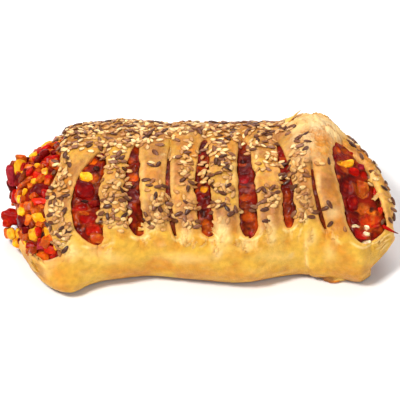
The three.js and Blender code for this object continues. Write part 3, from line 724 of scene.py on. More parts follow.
def pastry_grid():
    """Points, colours and faces of the wrapped sheet."""
    turn, share = row_turns()
    on_base = ~np.isnan(share)
    level = smooth((180 + FLOOR_TURN - turn) / BASE_FADE) * smooth((turn + FLOOR_TURN) / BASE_FADE)
    blocks, tones = [], []
    for band in range(BANDS):
        sides = sheet_edges(band, turn, share)
        for x, depth, wall in band_columns(band, turn, sides):
            flat = roll_point(x, turn, 0)
            outside = 1 - np.clip(wall, 0, 1)
            rise, torn = relief(flat, x, turn)
            rise = rise * (0.2 + 0.8 * outside) * level
            swell = puff(flat, turn) * outside * level
            points = roll_point(x, turn, depth - rise - swell)
            points[on_base] = base_point(x[on_base], share[on_base], np.maximum(depth[on_base], 0))
            blocks.append(points)
            cut = beside_cut(x, sides)
            tones.append(crust_tone(flat, x, turn, rise + 0.4 * swell, torn, cut, wall))
    grid, tone = np.stack(blocks, 1), np.stack(tones, 1)
    return grid, tone, grid_faces(*grid.shape[:2], close_rows=True)


def inside_box(points, margin=0.05):
    """Points kept inside the box that the solids fill."""
    low = np.array(cad_box[0]) / MM + MIDDLE + margin
    high = np.array(cad_box[1]) / MM + MIDDLE - margin
    low[2] = 0
    return np.clip(points, low, high)


def make_pastry(material):
    """The crust with its slits, puffed bands and open ends."""
    grid, tone, faces = pastry_grid()
    obj = new_object("crust", inside_box(grid.reshape(-1, 3)), faces.tolist(), material,
                     tone.reshape(-1, 3))
    weld(obj)
    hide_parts("pastry")


def surface(x, turn, lift=0.0):
    """Points on the crust's finished surface."""
    x, turn = np.asarray(x, float), np.asarray(turn, float)
    band = band_at(x, turn)
    depth = np.zeros_like(x)
    for b in range(BANDS):
        here = band == b
        if here.any():
            depth[here] = crust_depth(x[here], turn[here], band_edges(b, turn[here]))
    smooth_points = roll_point(x, turn, 0)
    return roll_point(x, turn, depth - relief(smooth_points, x, turn)[0] - puff(smooth_points, turn) - lift)


def surface_frames(x, turn, reach=1.0):
    """Place and axes (along the roll, across it and outwards) of each point on the crust."""
    origin = surface(x, turn)
    along = surface(x + reach, turn) - surface(x - reach, turn)
    around = surface(x, turn - reach * 1.3) - surface(x, turn + reach * 1.3)
    return origin, *axes_from(along, around)


def axes_from(along, around):
    """Axes along the roll, across it and outwards, from two directions on its surface."""
    along = along / np.linalg.norm(along, axis=-1, keepdims=True)
    out = np.cross(along, around)
    out /= np.linalg.norm(out, axis=-1, keepdims=True)
    return along, np.cross(out, along), out


# ---- Seeds ----

SESAME = {"length": 3.1, "width": 1.85, "thickness": 0.95, "point": 0.42}
LINSEED = {"length": 4.6, "width": 2.15, "thickness": 1.15, "point": 0.2}
SEED_SHADED_RIM = (0.74, 1.0)  # the darker rim's start and end, as shares of the way from a seed's middle: the seed's own browner edge with painted contact shade
SESAME_SHADED_RIM, LINSEED_SHADED_RIM = (132, 78, 36), (50, 26, 18)
SEED_PAINTED_LIGHT = (108, 92)  # painted light: the turns between which the seeds' colour gets brighter, darker at the front and brighter towards the back
SEED_LIMITS = (28.0, 151.0)  # the turns between which the solid has seeds
THIN_SOWING = (-24, -18), (9, 3)  # a part of the hidden side with few seeds: the X where it fades in
# How many of the tries give a seed on each band: at the crest, in the middle and at the front.
SEED_COVER = np.array([
    [0.9, 0.9, 0.9], [1, 1, 0.9], [0.8, 0.35, 1], [0.7, 0.5, 0.7], [1, 0.8, 0.7],
    [0.9, 0.6, 0.5], [0.8, 0.7, 0.25], [0.15, 0.12, 0.25], [0.5, 0.5, 0.4]])
IRRATIONAL_STEPS = (0.5698402910, 0.7548776662)
LINSEED_SHARE = 0.42
FUSED_TRIES, FUSED_SPACING, FUSED_ROOM = 440, 3.4, 2.1  # the seeds that the solid has too
BACK_TRIES, BACK_SPACING, BACK_ROOM = 3000, 2.0, 0.7  # and those on the hidden side
BARE = {"x": (39, 66), "turn": (40, 103)}  # the bulge that hardly holds a seed
HIDDEN_TURN = 70.0  # where the side that the photograph doesn't show begins
STACKED_SPACING = 1.05  # the least distance between the middles of seeds
LINSEED_SPACING = 1.9  # and of two linseeds
STACK_REACH = 2.0  # how near to others a seed lies on top of them
THICKNESS_OF_SOWING = 1.5
SOWING_REACH = 1.3  # how far a cluster reaches, in its spreads
CLUSTER_NUMBERS = 5000  # the number of the clusters' first seed

# Where the seeds lie thick in the photograph: pixels across and down, the spread both ways, and how many
# sesame seeds and linseeds.
CLUSTERS = [
    # the left end's strip and the corner above it
    (66, 143, 9, 8, 16, 8), (84, 132, 16, 7, 32, 12), (106, 130, 14, 6, 22, 9), (96, 146, 15, 5, 22, 8),
    (62, 165, 8, 8, 12, 8), (64, 181, 6, 9, 13, 2), (56, 199, 5, 13, 8, 3), (50, 193, 2, 5, 1, 3),
    (67, 196, 3, 5, 1, 2), (58, 213, 7, 10, 13, 4), (62, 238, 6, 8, 7, 2), (56, 227, 6, 8, 5, 5),
    (65, 231, 9, 6, 10, 4), (60, 246, 5, 7, 5, 1),
    # between the first and the second slit
    (113, 150, 11, 8, 20, 6), (118, 166, 10, 6, 9, 11), (122, 181, 8, 7, 13, 3), (108, 187, 6, 8, 9, 3),
    (119, 196, 8, 8, 14, 5), (108, 208, 6, 7, 8, 3), (104, 218, 6, 4, 3, 3), (121, 211, 8, 4, 4, 4),
    (121, 221, 8, 5, 6, 1), (138, 137, 14, 6, 20, 8), (124, 141, 7, 5, 8, 3), (150, 127, 16, 4, 18, 6),
    (160, 136, 13, 5, 15, 5),
    # between the second and the fourth
    (152, 164, 6, 3, 1, 3), (149, 183, 4, 4, 1, 2), (160, 184, 4, 4, 1, 2), (154, 200, 4, 4, 2, 3),
    (162, 203, 8, 6, 18, 2), (157, 213, 9, 6, 16, 4), (153, 222, 7, 5, 8, 2), (167, 214, 4, 5, 2, 5),
    (176, 157, 4, 3, 1, 2), (190, 151, 5, 8, 8, 1), (185, 170, 6, 10, 13, 1), (190, 185, 4, 4, 3, 3),
    (190, 207, 7, 5, 12, 2), (177, 218, 4, 4, 1, 2), (190, 222, 6, 4, 6, 1), (197, 223, 3, 3, 0, 2),
    (176, 131, 13, 5, 12, 3), (197, 130, 8, 4, 4, 6), (214, 130, 14, 5, 16, 5), (232, 124, 13, 3, 8, 8),
    (226, 134, 10, 5, 14, 5), (236, 139, 6, 4, 4, 4), (204, 151, 7, 4, 2, 4), (203, 170, 5, 7, 6, 2),
    (208, 178, 5, 5, 6, 1),
    # between the fourth and the sixth
    (216, 147, 9, 6, 14, 4), (222, 160, 9, 6, 12, 6), (226, 175, 7, 5, 6, 5), (222, 189, 8, 5, 10, 5),
    (230, 193, 5, 3, 4, 0), (222, 204, 8, 4, 3, 7), (214, 207, 4, 5, 1, 4), (236, 212, 4, 3, 1, 2),
    (256, 131, 12, 5, 16, 8), (270, 129, 12, 4, 12, 8), (263, 142, 11, 5, 8, 6), (251, 148, 5, 3, 3, 3),
    (262, 168, 6, 5, 4, 1), (271, 161, 5, 8, 12, 0), (270, 191, 9, 4, 3, 8), (258, 208, 6, 4, 0, 4),
    (272, 201, 6, 5, 10, 3), (265, 222, 3, 3, 0, 2),
    # between the sixth and the right end
    (285, 163, 4, 4, 1, 4), (284, 177, 5, 4, 2, 5), (290, 171, 4, 3, 0, 3), (288, 131, 6, 4, 1, 3),
    (300, 141, 8, 3, 1, 3), (305, 135, 3, 3, 0, 2), (303, 149, 5, 3, 1, 4), (297, 152, 6, 4, 8, 0),
    (300, 170, 7, 9, 16, 1), (296, 187, 4, 4, 2, 2), (304, 195, 5, 8, 9, 0), (305, 209, 5, 7, 9, 0),
    (300, 216, 5, 5, 4, 1), (313, 214, 3, 3, 0, 2), (329, 163, 2, 2, 0, 2), (318, 163, 4, 3, 3, 0),
    (327, 208, 4, 4, 0, 3), (331, 222, 2, 2, 0, 1),
    # the right rim and the lip at the left
    (363, 153, 3, 3, 0, 3), (375, 168, 3, 7, 2, 4), (372, 180, 3, 3, 1, 2), (386, 189, 2, 5, 1, 4),
    (391, 212, 2, 10, 1, 5), (385, 222, 2, 2, 0, 1),
]


def seed_cover(band, turn):
    """The share of tries that give a seed."""
    crest, middle, front = SEED_COVER[band].T
    forward = np.clip((turn - 85) / 60, 0, 1) * 2
    return np.where(forward < 1, crest + (middle - crest) * forward,
                    middle + (front - middle) * (forward - 1))


def room_beside(x, turn):
    """How far each place is from the nearest edge of its band."""
    band = band_at(x, turn)
    room = np.zeros_like(x)
    for b in range(BANDS):
        here = band == b
        sides = band_edges(b, turn[here])
        room[here] = np.minimum(x[here] - sides[0][0], sides[1][0] - x[here])
    return room


def sown_behind(number, x, turn):
    """Which tries give a seed on the hidden side: fewer towards the foot and left of the middle."""
    thick = 0.15 + smooth((turn - SEED_LIMITS[0] - 4 * scatter(x)) / 18)
    thick *= 1 - 0.75 * ramp(x, *THIN_SOWING[0]) * ramp(x, *THIN_SOWING[1])
    return (turn < HIDDEN_TURN) & (scatter(number + 0.8) < thick)


def spread_spots():
    """The solid's own seeds, spread by two irrational steps, and more like them on the hidden side."""
    number = np.arange(1, BACK_TRIES + 1)
    turn_share, x_share = (number * step % 1 for step in IRRATIONAL_STEPS)
    turn = between(SEED_LIMITS, turn_share)
    x = between((LEFT_RIM(turn), RIGHT_RIM(turn)), x_share)
    fused = number <= FUSED_TRIES
    wanted = fused | sown_behind(number, x, turn)
    wanted &= scatter(number) <= seed_cover(band_at(x, turn), turn)
    wanted &= room_beside(x, turn) > np.where(fused, FUSED_ROOM, BACK_ROOM)
    wanted &= ~(within(x, BARE["x"]) & within(turn, BARE["turn"]))
    place = roll_point(x, turn, 0)
    kept = []
    for i in np.flatnonzero(wanted):
        spacing = FUSED_SPACING if fused[i] else BACK_SPACING
        if not kept or np.min(np.linalg.norm(place[kept] - place[i], axis=1)) > spacing:
            kept.append(i)
    kind = scatter(number[kept] + 0.5) < LINSEED_SHARE
    return x[kept], turn[kept], kind, number[kept]


def cluster_spots():
    """X, turn and kind of the seeds that lie thick in the photograph."""
    across, down, kinds = [], [], []
    for number, (u, v, wide, high, sesame, linseed) in enumerate(CLUSTERS):
        sesame, linseed = round(sesame * THICKNESS_OF_SOWING), round(linseed * THICKNESS_OF_SOWING)
        count = sesame + linseed
        key = number * 61 + np.arange(count)
        distance, angle = np.sqrt(scatter(key + 0.21)) * SOWING_REACH, scatter(key + 0.47) * 2 * math.pi
        across.append(u + wide * distance * np.cos(angle))
        down.append(v + high * distance * np.sin(angle))
        kinds.append(np.arange(count) >= sesame)
    x, turn = place_seen(np.concatenate(across), np.concatenate(down))
    return x, turn, np.concatenate(kinds)


def seed_form(length, width, thickness, point, rings=9, sides=11):
    """A flat drop-shaped seed lying along X, with its sharper end at -X."""
    t = -np.cos(np.linspace(0, math.pi, rings + 1)[1:-1])
    radius = (1 - t * t) ** 0.5 * (1 + point * t) ** 0.9
    radius /= radius.max()
    angle = np.linspace(0, 2 * math.pi, sides, endpoint=False)
    ring = np.stack([np.broadcast_to(t[:, None] * length / 2, (rings - 1, sides)),
                     radius[:, None] * np.cos(angle) * width / 2,
                     radius[:, None] * np.sin(angle) * thickness / 2], -1)
    points = np.concatenate([ring.reshape(-1, 3), [[-length / 2, 0, 0], [length / 2, 0, 0]]])
    faces = [tuple(f) for f in grid_faces(rings - 1, sides, close_columns=True)[:, ::-1].tolist()]
    first, last = len(points) - 2, len(points) - 1
    end = (rings - 2) * sides
    faces += [(first, (k + 1) % sides, k) for k in range(sides)]
    faces += [(last, end + k, end + (k + 1) % sides) for k in range(sides)]
    return points, faces


def placed(points, origin, axes, spin, tilt, roll):
    """A form's points, tilted, rolled and spun about its own axes, then set at a place."""
    ca, sa = math.cos(spin), math.sin(spin)
    ct, st = math.cos(tilt), math.sin(tilt)
    cr, sr = math.cos(roll), math.sin(roll)
    p = points @ np.array([[ct, 0, st], [0, 1, 0], [-st, 0, ct]])
    p = p @ np.array([[1, 0, 0], [0, cr, sr], [0, -sr, cr]])
    p = p @ np.array([[ca, sa, 0], [-sa, ca, 0], [0, 0, 1]])
    return origin + p @ np.stack(axes)


class SeedBatch:
    """Seeds of one kind, joined into one mesh."""

    def __init__(self, form, tones, rim, shaded_rim_strength):
        self.points, self.faces = form
        self.tones = [linear(c) for c in tones]
        flat = np.abs(self.points / np.abs(self.points).max(axis=0))
        # a darker rim round each seed: its own browner edge, with painted contact shade
        self.rim = ramp(np.hypot(flat[:, 0], flat[:, 1]), *SEED_SHADED_RIM) * shaded_rim_strength
        self.shaded_rim_tone = linear(rim)
        self.parts, self.colours = [], []

    def add(self, number, size, origin, axes, spin, tilt, shade):
        """Adds a seed, with its own tilt, tone and side that lies upwards."""
        points = placed(self.points * size, origin, axes, spin, tilt * (scatter(number + 0.33) - 0.5),
                        1.4 * tilt * (scatter(number + 0.41) - 0.5))
        if scatter(number + 0.19) < 0.5:
            points = origin * 2 - points
        pick = scatter(number + 0.57) * (len(self.tones) - 1)
        low = int(pick)
        tone = self.tones[low] + (self.tones[low + 1] - self.tones[low]) * (pick - low)
        self.parts.append(points)
        warm = shade ** np.array([0.7, 1.0, 1.6])  # the painted shade makes darker seeds browner, not greyer
        self.colours.append(mixed(np.broadcast_to(tone, points.shape), self.shaded_rim_tone, self.rim) * warm)

    def make(self, name, material):
        step = len(self.points)
        faces = [tuple(c + k * step for c in face) for k in range(len(self.parts)) for face in self.faces]
        points = inside_box(np.concatenate(self.parts))
        return new_object(name, points, faces, material, np.concatenate(self.colours))


def all_spots():
    """X, turn, kind and number of every seed's place; kind is true for a linseed."""
    x, turn, kind, number = spread_spots()
    x2, turn2, kind2 = cluster_spots()
    number2 = CLUSTER_NUMBERS + np.arange(len(x2))
    return (np.concatenate(pair) for pair in ((x, x2), (turn, turn2), (kind, kind2), (number, number2)))


def seed_size(number, is_linseed, fused):
    """A seed's size against its kind's usual one."""
    size = 0.96 if fused else 0.85 if is_linseed else 1.04
    return size + 0.2 * (scatter(number + 0.11) - 0.5)


def seed_spin(number, fused):
    """A seed's turn from the roll's direction: any for the solid's own, mostly small for the others."""
    spin = scatter(number + 0.25)
    return math.pi * spin if fused else 1.25 * (2 * spin - 1) ** 3 + 0.5 * (2 * spin - 1)


def make_seeds(sesame_material, linseed_material):
    """The seeds on the crust: those that lie close are stacked, and too close ones are left out."""
    x, turn, kind, number = all_spots()
    origin, along, across, out = surface_frames(x, turn)
    # painted light and shade: the seeds' colour darker at the front, brighter on the crest and the back
    shade = 0.76 + 0.36 * ramp(turn, *SEED_PAINTED_LIGHT)
    sesame = SeedBatch(seed_form(**SESAME), SESAME_TONES, SESAME_SHADED_RIM, 0.7)
    linseed = SeedBatch(seed_form(**LINSEED), LINSEED_TONES, LINSEED_SHADED_RIM, 0.4)
    kept = np.array([], int)
    for i in range(len(x)):
        fused = number[i] <= FUSED_TRIES
        gaps = np.linalg.norm(origin[kept] - origin[i], axis=1)
        needed = np.where(kind[kept] & kind[i], LINSEED_SPACING, STACKED_SPACING)
        if np.any(gaps < needed) and not fused:
            continue
        stacked = np.sum(gaps < STACK_REACH)
        lift = 0.12 + 0.16 * scatter(number[i] + 0.7) + min(0.35 * stacked, 1.0)
        batch = linseed if kind[i] else sesame
        batch.add(number[i], seed_size(number[i], kind[i], fused), origin[i] + out[i] * lift,
                  (along[i], across[i], out[i]), seed_spin(number[i], fused), 0.3 + 0.3 * stacked, shade[i])
        kept = np.append(kept, i)
    sesame.make("sesame_seeds", sesame_material)
    linseed.make("linseeds", linseed_material)


# ---- The filling ----

SAUCE_DEPTH = 4.9  # of the filling's surface, just under the pastry's inner face
SAUCE_ROWS = 250
SAUCE_COLUMNS = 288
SHOWN_ROWS = (68, 178)  # the turns between which the rows are finest
SHOWN_DENSITY, HIDDEN_DENSITY = 2.1, 0.8  # how close the rows are between those turns and elsewhere
FINE_SAUCE_TURNS = 3000  # how many turns their spacing is worked out with
SWELL, SWELL_PAST_TIP = 3.1, 2.2  # how high the filling stands in the slits, and how far past their tips
# How each mouth closes: its edge's shift in X from the pastry's, X of its middle, its bluntness and how many
# rings it has.
LEFT_MOUTH = {"inset": 1.5, "far_x": -75.5, "fullness": 4.0, "rings": 60}
RIGHT_MOUTH = {"inset": -3, "far_x": 77.5, "fullness": 3.2, "rings": 36}
SAUCE_TONES = [(82, 8, 2), (128, 22, 4), (172, 68, 8)]
# A painted shadow on the sauce under the narrow slits: its dark brown, and the width below which a slit is
# narrow.
CLOSED_SLIT_SHADOW, CLOSED_SLIT_WIDTH = (92, 40, 18), 3
MOUTH_TONES = (-60, -68), (66, 74)  # the X between which the sauce brightens in each mouth
MOUTH_RELIEF = (-60, -66)  # and between which it gets rougher in the left one
TIP_HEIGHTS, TIP_FRONT = ((20, 25), (33, 27)), -20  # where the slits' front tips are: heights and Y
SLIT_ENDS = (62, 58)  # the X to both sides between which the painted shade of the slits fades in
# The filling's half width, and how far it reaches above and below the belly.
FILLING_REACH, FILLING_RISE, FILLING_DROP = 41, 30, 8
# How far past the pastry's ends, inside a slit's edges and above the base the filling lies open. Low down,
# it does so from further in.
PAST_LEFT, PAST_RIGHT, SLIT_MARGIN, OPEN_HEIGHT = 0.5, 1.5, 1.5, 2
SPILL = {"heights": (14, 8), "inwards": 2.5}
RAY_REACH = 60  # how far before and behind the middle a ray looks for the nearest surface
BUMP_SQUARENESS = 2.7
# How square the pieces are: corn, others in the heap, and others elsewhere. 2 would be an ellipsoid.
BIT_BLUNTS, OUTER_BLUNTS, CRUMB_BLUNTS = (3.2, 4.6, 3.4), (2.8, 4.2, 4.2), (3.0, 4.5, 3.6)
SPIKE_BLUNT = 2.2
STANDING_SHARE = 0.45  # how many of the pieces that show stand out of the sauce
NARROW_SLITS_SEEN = (108, 300)  # pixels across between which the slits are narrow
HEAP_SEEN = {"across": 62, "down": 135}  # the left heap is left of and below these pixels

TINTS = {
    "red": [(196, 14, 4), (168, 6, 2), (206, 34, 10)],
    "dark": [(124, 4, 4), (96, 6, 8), (140, 14, 6)],
    "bright": [(222, 44, 10), (200, 20, 4), (226, 70, 16)],
    "pink": [(170, 22, 40), (196, 60, 70), (140, 14, 26)],
    "purple": [(110, 34, 44), (150, 84, 92), (84, 18, 26)],
    "orange": [(220, 100, 14), (204, 76, 10), (232, 130, 30)],
    "glaze": [(200, 88, 18), (182, 62, 10), (218, 116, 34)],
    "flame": [(232, 66, 10), (214, 42, 6), (242, 108, 26)],
    "brown": [(146, 52, 12), (120, 34, 10), (168, 76, 26)],
    "yellow": [(246, 170, 22), (250, 190, 50), (236, 140, 14)],
    "white": [(250, 226, 180), (244, 206, 150), (252, 236, 206)],
    "char": [(52, 20, 14), (78, 34, 24), (36, 14, 10)],
}
CORN = ("yellow", "white")
GLAZED = ("glaze", "brown")
GLAZED_SMEAR, RED_SMEAR = (150, 58, 12), (168, 40, 5)
SLIT_PAINTED_SHADE = np.array([0.9, 0.72, 0.5])  # painted shade: what the colours of the filling are multiplied by in the slits, darker and redder

# Pieces of the filling that the photograph shows: tint, then pixels across, down, wide and high.
BITS = [
    # the heap at the left mouth, from its top to its foot
    ("pink", 58, 139, 7, 6), ("orange", 50, 146, 9, 7), ("yellow", 64, 147, 8, 5),
    ("orange", 51, 152, 10, 6), ("char", 42, 155, 8, 3.5), ("red", 52, 161, 17, 10),
    ("bright", 45, 165, 9, 7), ("yellow", 37, 166, 6, 6), ("orange", 30, 169, 10, 9),
    ("yellow", 45, 172, 6, 8), ("bright", 38, 177, 11, 9), ("orange", 30, 180, 8, 7),
    ("red", 48, 179, 8, 8), ("dark", 40, 190, 17, 13), ("red", 47, 194, 9, 9), ("bright", 40, 202, 14, 7),
    ("glaze", 29, 207, 9, 11), ("orange", 35, 212, 8, 7), ("brown", 46, 213, 7, 9),
    ("dark", 22, 219, 8, 10), ("orange", 29, 220, 7, 10), ("yellow", 39, 218, 12, 10),
    ("brown", 47, 224, 6, 8), ("char", 24, 226, 9, 3.2), ("dark", 27, 230, 9, 8),
    ("yellow", 35, 234, 12, 14), ("char", 43, 236, 3, 8), ("yellow", 47.5, 232, 7, 11),
    ("pink", 42, 245, 9, 9), ("bright", 51, 250, 15, 10), ("dark", 60, 253, 9, 9), ("red", 32, 246, 12, 6),
    ("red", 55, 257, 9, 4), ("red", 41, 240, 7, 6),
    # the first slit
    ("orange", 91, 161, 12, 9), ("dark", 101, 156, 9, 10), ("char", 97, 169, 7, 6),
    ("char", 83, 168, 12, 5), ("yellow", 86, 177, 13, 10), ("orange", 95, 179, 8, 13),
    ("dark", 85, 191, 20, 18), ("brown", 98, 188, 7, 16), ("brown", 77, 186, 5, 14),
    ("char", 85, 201.5, 8, 3), ("red", 80, 208, 15, 8), ("dark", 95, 204, 12, 7), ("red", 88, 218, 17, 13),
    ("orange", 84, 213, 9, 4), ("bright", 93, 230, 14, 12), ("glaze", 97, 238, 14, 10),
    ("orange", 101, 222, 6, 12),
    # the second
    ("brown", 137, 149, 8, 12), ("char", 136, 161, 5, 4), ("brown", 133, 168, 8, 8),
    ("orange", 133, 177, 10, 9), ("char", 132, 187, 8, 3.5), ("purple", 134, 196, 9, 13),
    ("dark", 140, 207, 8, 9), ("char", 145, 208, 5, 5), ("brown", 141, 218, 9, 8),
    # the small purple spot on the glazed piece is a painted highlight
    ("glaze", 141, 230, 11, 15), ("purple", 142, 228, 3, 3),
    # the fourth
    ("glaze", 204, 141, 8, 10), ("char", 200, 150, 6, 5), ("brown", 204, 158, 6, 6),
    ("glaze", 203, 168, 9, 8), ("brown", 203, 179, 9, 8), ("yellow", 204, 189, 8, 7),
    ("char", 206, 198, 4.5, 4), ("dark", 201, 199, 8, 13), ("char", 204, 213, 7, 8),
    ("glaze", 208, 228, 13, 14), ("orange", 205, 222, 7, 6),
    # the fifth
    ("glaze", 242, 140, 8, 9), ("brown", 245, 151, 10, 10), ("char", 243, 161, 6, 4.5),
    ("purple", 245, 170, 10, 6), ("pink", 244, 179, 11, 10), ("purple", 246, 190, 12, 5),
    ("glaze", 246, 197, 11, 7), ("brown", 246, 205, 11, 7), ("glaze", 248, 215, 12, 13),
    # the small pink spot at this slit's foot is a painted highlight
    ("brown", 249, 228, 11, 12), ("char", 249, 228, 3, 3), ("pink", 251, 233, 5, 4),
    # the sixth
    ("bright", 277, 145, 5, 9), ("dark", 282, 154, 8, 8), ("char", 284, 165, 6, 8),
    ("brown", 286, 178, 8, 14), ("brown", 286, 196, 9, 16), ("brown", 287, 210, 8, 12),
    ("glaze", 288, 224, 8, 9),
    # the wide opening at the right
    ("orange", 338, 150, 6, 8), ("dark", 336, 157, 4, 6), ("glaze", 345, 151, 9, 7),
    ("red", 352, 154, 9, 4), ("yellow", 345, 164, 18, 7), ("brown", 357, 161, 4, 6),
    ("pink", 361, 167, 9, 6), ("red", 354, 172, 12, 9), ("red", 364, 175, 9, 9), ("dark", 347, 186, 13, 24),
    ("dark", 352, 204, 12, 16), ("glaze", 362, 190, 13, 18), ("brown", 368, 181, 6, 10),
    ("bright", 375, 194, 6, 14), ("glaze", 363, 209, 14, 12), ("orange", 372, 214, 9, 12),
    ("char", 372.5, 209, 5, 5.5), ("brown", 380, 207, 5, 9), ("flame", 370, 221, 22, 13),
    ("dark", 355, 222, 9, 8), ("white", 356, 226, 8, 3), ("white", 366.5, 227.5, 5.5, 4.5),
    ("white", 366.5, 234, 7, 4.5), ("red", 362, 234, 14, 10), ("dark", 377, 236, 14, 9),
    ("white", 366, 243, 11, 4.5), ("pink", 372, 241, 8, 4),
]
# Outer pieces of the heap at the left mouth: tint, place, size and tilt in degrees.
OUTER = [
    ("pink", (-80.6, 5.6, 24.8), (3.6, 5.5, 8.6), (-38, -10, 4)),
    ("dark", (-80.8, 4.6, 20), (3.4, 4.5, 5), (-30, -16, 10)),
    ("brown", (-80, 3.6, 16.2), (3.2, 4, 4.6), (-34, 10, 0)),
    ("orange", (-78.6, 3, 12.6), (3.4, 4, 4.2), (-30, 20, 0)),
    ("brown", (-79.5, 9, 27), (4, 4, 5), (-30, 20, 0)),
    ("orange", (-76.4, 12, 28.5), (4, 4, 4), (-30, 0, 30)),
    ("yellow", (-77.2, 8.1, 26), (4.8, 5, 8.2), (-32, 6, 0)),
    ("yellow", (-75.8, 4.2, 21.4), (4.6, 5, 5.4), (-36, 4, 10)),
    ("yellow", (-75.8, 0.6, 17.6), (5, 5, 6), (-36, -4, 0)),
    ("orange", (-77, -1.4, 14.8), (4, 4.5, 4), (-30, 20, 10)),
    ("red", (-79.6, -7.6, 12.4), (9.2, 6.5, 6), (-27, 8, -6)),
    ("bright", (-82, -9.4, 10.6), (4, 5, 4.4), (-27, 20, 6)),
    ("yellow", (-80.4, -14, 8.2), (3.6, 4.5, 5), (-34, -8, 0)),
    ("yellow", (-76.6, -15.4, 9), (3.8, 5, 5), (-38, 12, 0)),
    ("yellow", (-77.6, -17.4, 5.4), (4.6, 4.6, 4), (-38, 8, 10)),
    ("orange", (-81.4, -11.6, 6.4), (3.6, 4.5, 4.4), (-20, 0, 20)),
    ("dark", (-75.4, -9.5, 11.6), (6, 6, 6), (-35, 0, 30)),
    ("red", (-79, 0.4, 17.5), (3.4, 5, 6), (-30, 8, 0)),
]
# The sliver at the right end, dark from a share of its length on; no small piece lies within its room.
SPIKE = {"foot": (79.0, -26.8, 23.4), "tip": (86.2, -28.8, 20.6), "width": 2.0, "thickness": 1.5,
         "dark": (0.45, 0.85), "room": 12}
SPIKE_TIP, SPIKE_NUMBER = (70, 24, 18), 77
OUTER_NUMBERS, CRUMB_NUMBERS = 200, 1000  # the numbers of the first outer and the first small piece
CRUMB_STRIDE = 3  # every third point that lies open can hold a small piece
CRUMB_GAP, SHOWN_CRUMB_GAP = 1.25, 1.3  # a small piece's least distance from others, and that in sight
IN_SIGHT = {"y": 14, "x": 60}  # below this Y and left of this X; right of it, only the last slit is
HEAP_END = -58  # right of it, no small piece is in sight
# Where the ends' small pieces are tried: a grid of heights and Y, looked for from far out.
END_Y, END_Z, END_STEP, FAR_OUT = (-32, 33), (3, 27), 1.4, 100
SHOWN_CRUMBS = ("orange", "glaze", "brown", "red", "orange", "yellow", "glaze", "dark", "bright", "glaze")
HIDDEN_CRUMBS = ("red", "orange", "yellow", "bright", "dark", "glaze", "red", "yellow", "pink", "bright")


def sauce_swell(x, turn):
    """How far the filling swells up into the slits."""
    swell = np.zeros_like(x)
    for slit in SLITS:
        longer = dict(slit, front=slit["front"] + SWELL_PAST_TIP, back=slit["back"] - SWELL_PAST_TIP)
        centre, half = slit_at(longer, turn)
        across = 1 - np.clip(np.abs(x - centre) / (half + 1.0), 0, 1) ** 8
        swell = np.maximum(swell, SWELL * across * smooth(half / 1.2))
    return swell


def sauce_tone(points):
    """The sauce's colour: brighter in patches, in the mouths and at the front tips of the slits, with a
    painted shadow under the narrow slits.
    """
    dark, mid, bright = (linear(c) for c in SAUCE_TONES)
    x, y, z = points.T
    mouth = np.maximum(ramp(x, *MOUTH_TONES[0]), 0.5 * ramp(x, *MOUTH_TONES[1]))
    at_tips = ramp(z, *TIP_HEIGHTS[0]) * ramp(z, *TIP_HEIGHTS[1]) * (y < TIP_FRONT)
    tone = mixed(dark, mid, smooth(0.45 + layered(points, 6, 3, 61) + mouth * 0.4))
    patches = layered(points, 3.2, 3, 62) * 1.8 - 0.2 + mouth * 0.3 + at_tips * 0.6
    tone = mixed(tone, bright, smooth(patches) * 0.85)
    # painted shadow: dark brown under the narrow slits
    for slit in SLITS:
        if slit["width"] < CLOSED_SLIT_WIDTH:
            tone = mixed(tone, linear(CLOSED_SLIT_SHADOW), smooth((3.4 - np.abs(x - slit["x"])) / 2) * 0.8)
    return tone


def mouth_rings(turns, rim, mouth):
    """Rings that close a mouth with a blunt swelling, from its middle out to the rim."""
    edge = roll_point(rim, turns, SAUCE_DEPTH)
    middle = edge.mean(axis=0)
    rings = []
    for share in np.sin(np.linspace(0.02, 1, mouth["rings"] + 1)[:-1] * math.pi / 2):
        ring = middle + (edge - middle) * share
        ring[:, 0] = edge[:, 0] + (mouth["far_x"] - edge[:, 0]) * (1 - share ** mouth["fullness"])
        rings.append(ring)
    return rings


def sauce_grid():
    """Rows of points round the filling, from its left mouth to its right one, finest where it shows."""
    fine = np.linspace(180 + FLOOR_TURN, -FLOOR_TURN, FINE_SAUCE_TURNS)
    density = np.where(within(fine, SHOWN_ROWS), SHOWN_DENSITY, HIDDEN_DENSITY)
    rows = np.concatenate([[0], np.cumsum(density[1:])])
    turns = np.interp(np.linspace(0, rows[-1], SAUCE_ROWS), rows, fine)
    left, right = LEFT_RIM(turns) + LEFT_MOUTH["inset"], RIGHT_RIM(turns) + RIGHT_MOUTH["inset"]
    rings = mouth_rings(turns, left, LEFT_MOUTH)
    for share in np.linspace(0, 1, SAUCE_COLUMNS):
        x = left + (right - left) * share
        rings.append(roll_point(x, turns, SAUCE_DEPTH - sauce_swell(x, turns)))
    rings += mouth_rings(turns, right, RIGHT_MOUTH)[::-1]
    return np.stack(rings)


def outward_of(grid):
    """The way out of the filling at each of its points."""
    out = np.cross(np.roll(grid, -1, axis=1) - np.roll(grid, 1, axis=1), np.gradient(grid, axis=0))
    out /= np.linalg.norm(out, axis=-1, keepdims=True) + 1e-9
    return out * smooth(np.hypot(grid[..., 1], grid[..., 2] - BELLY) / 4)[..., None]


def tree_of(points, faces):
    """A mesh as a tree that answers rays and nearest places."""
    return BVHTree.FromPolygons(points.tolist(), faces)


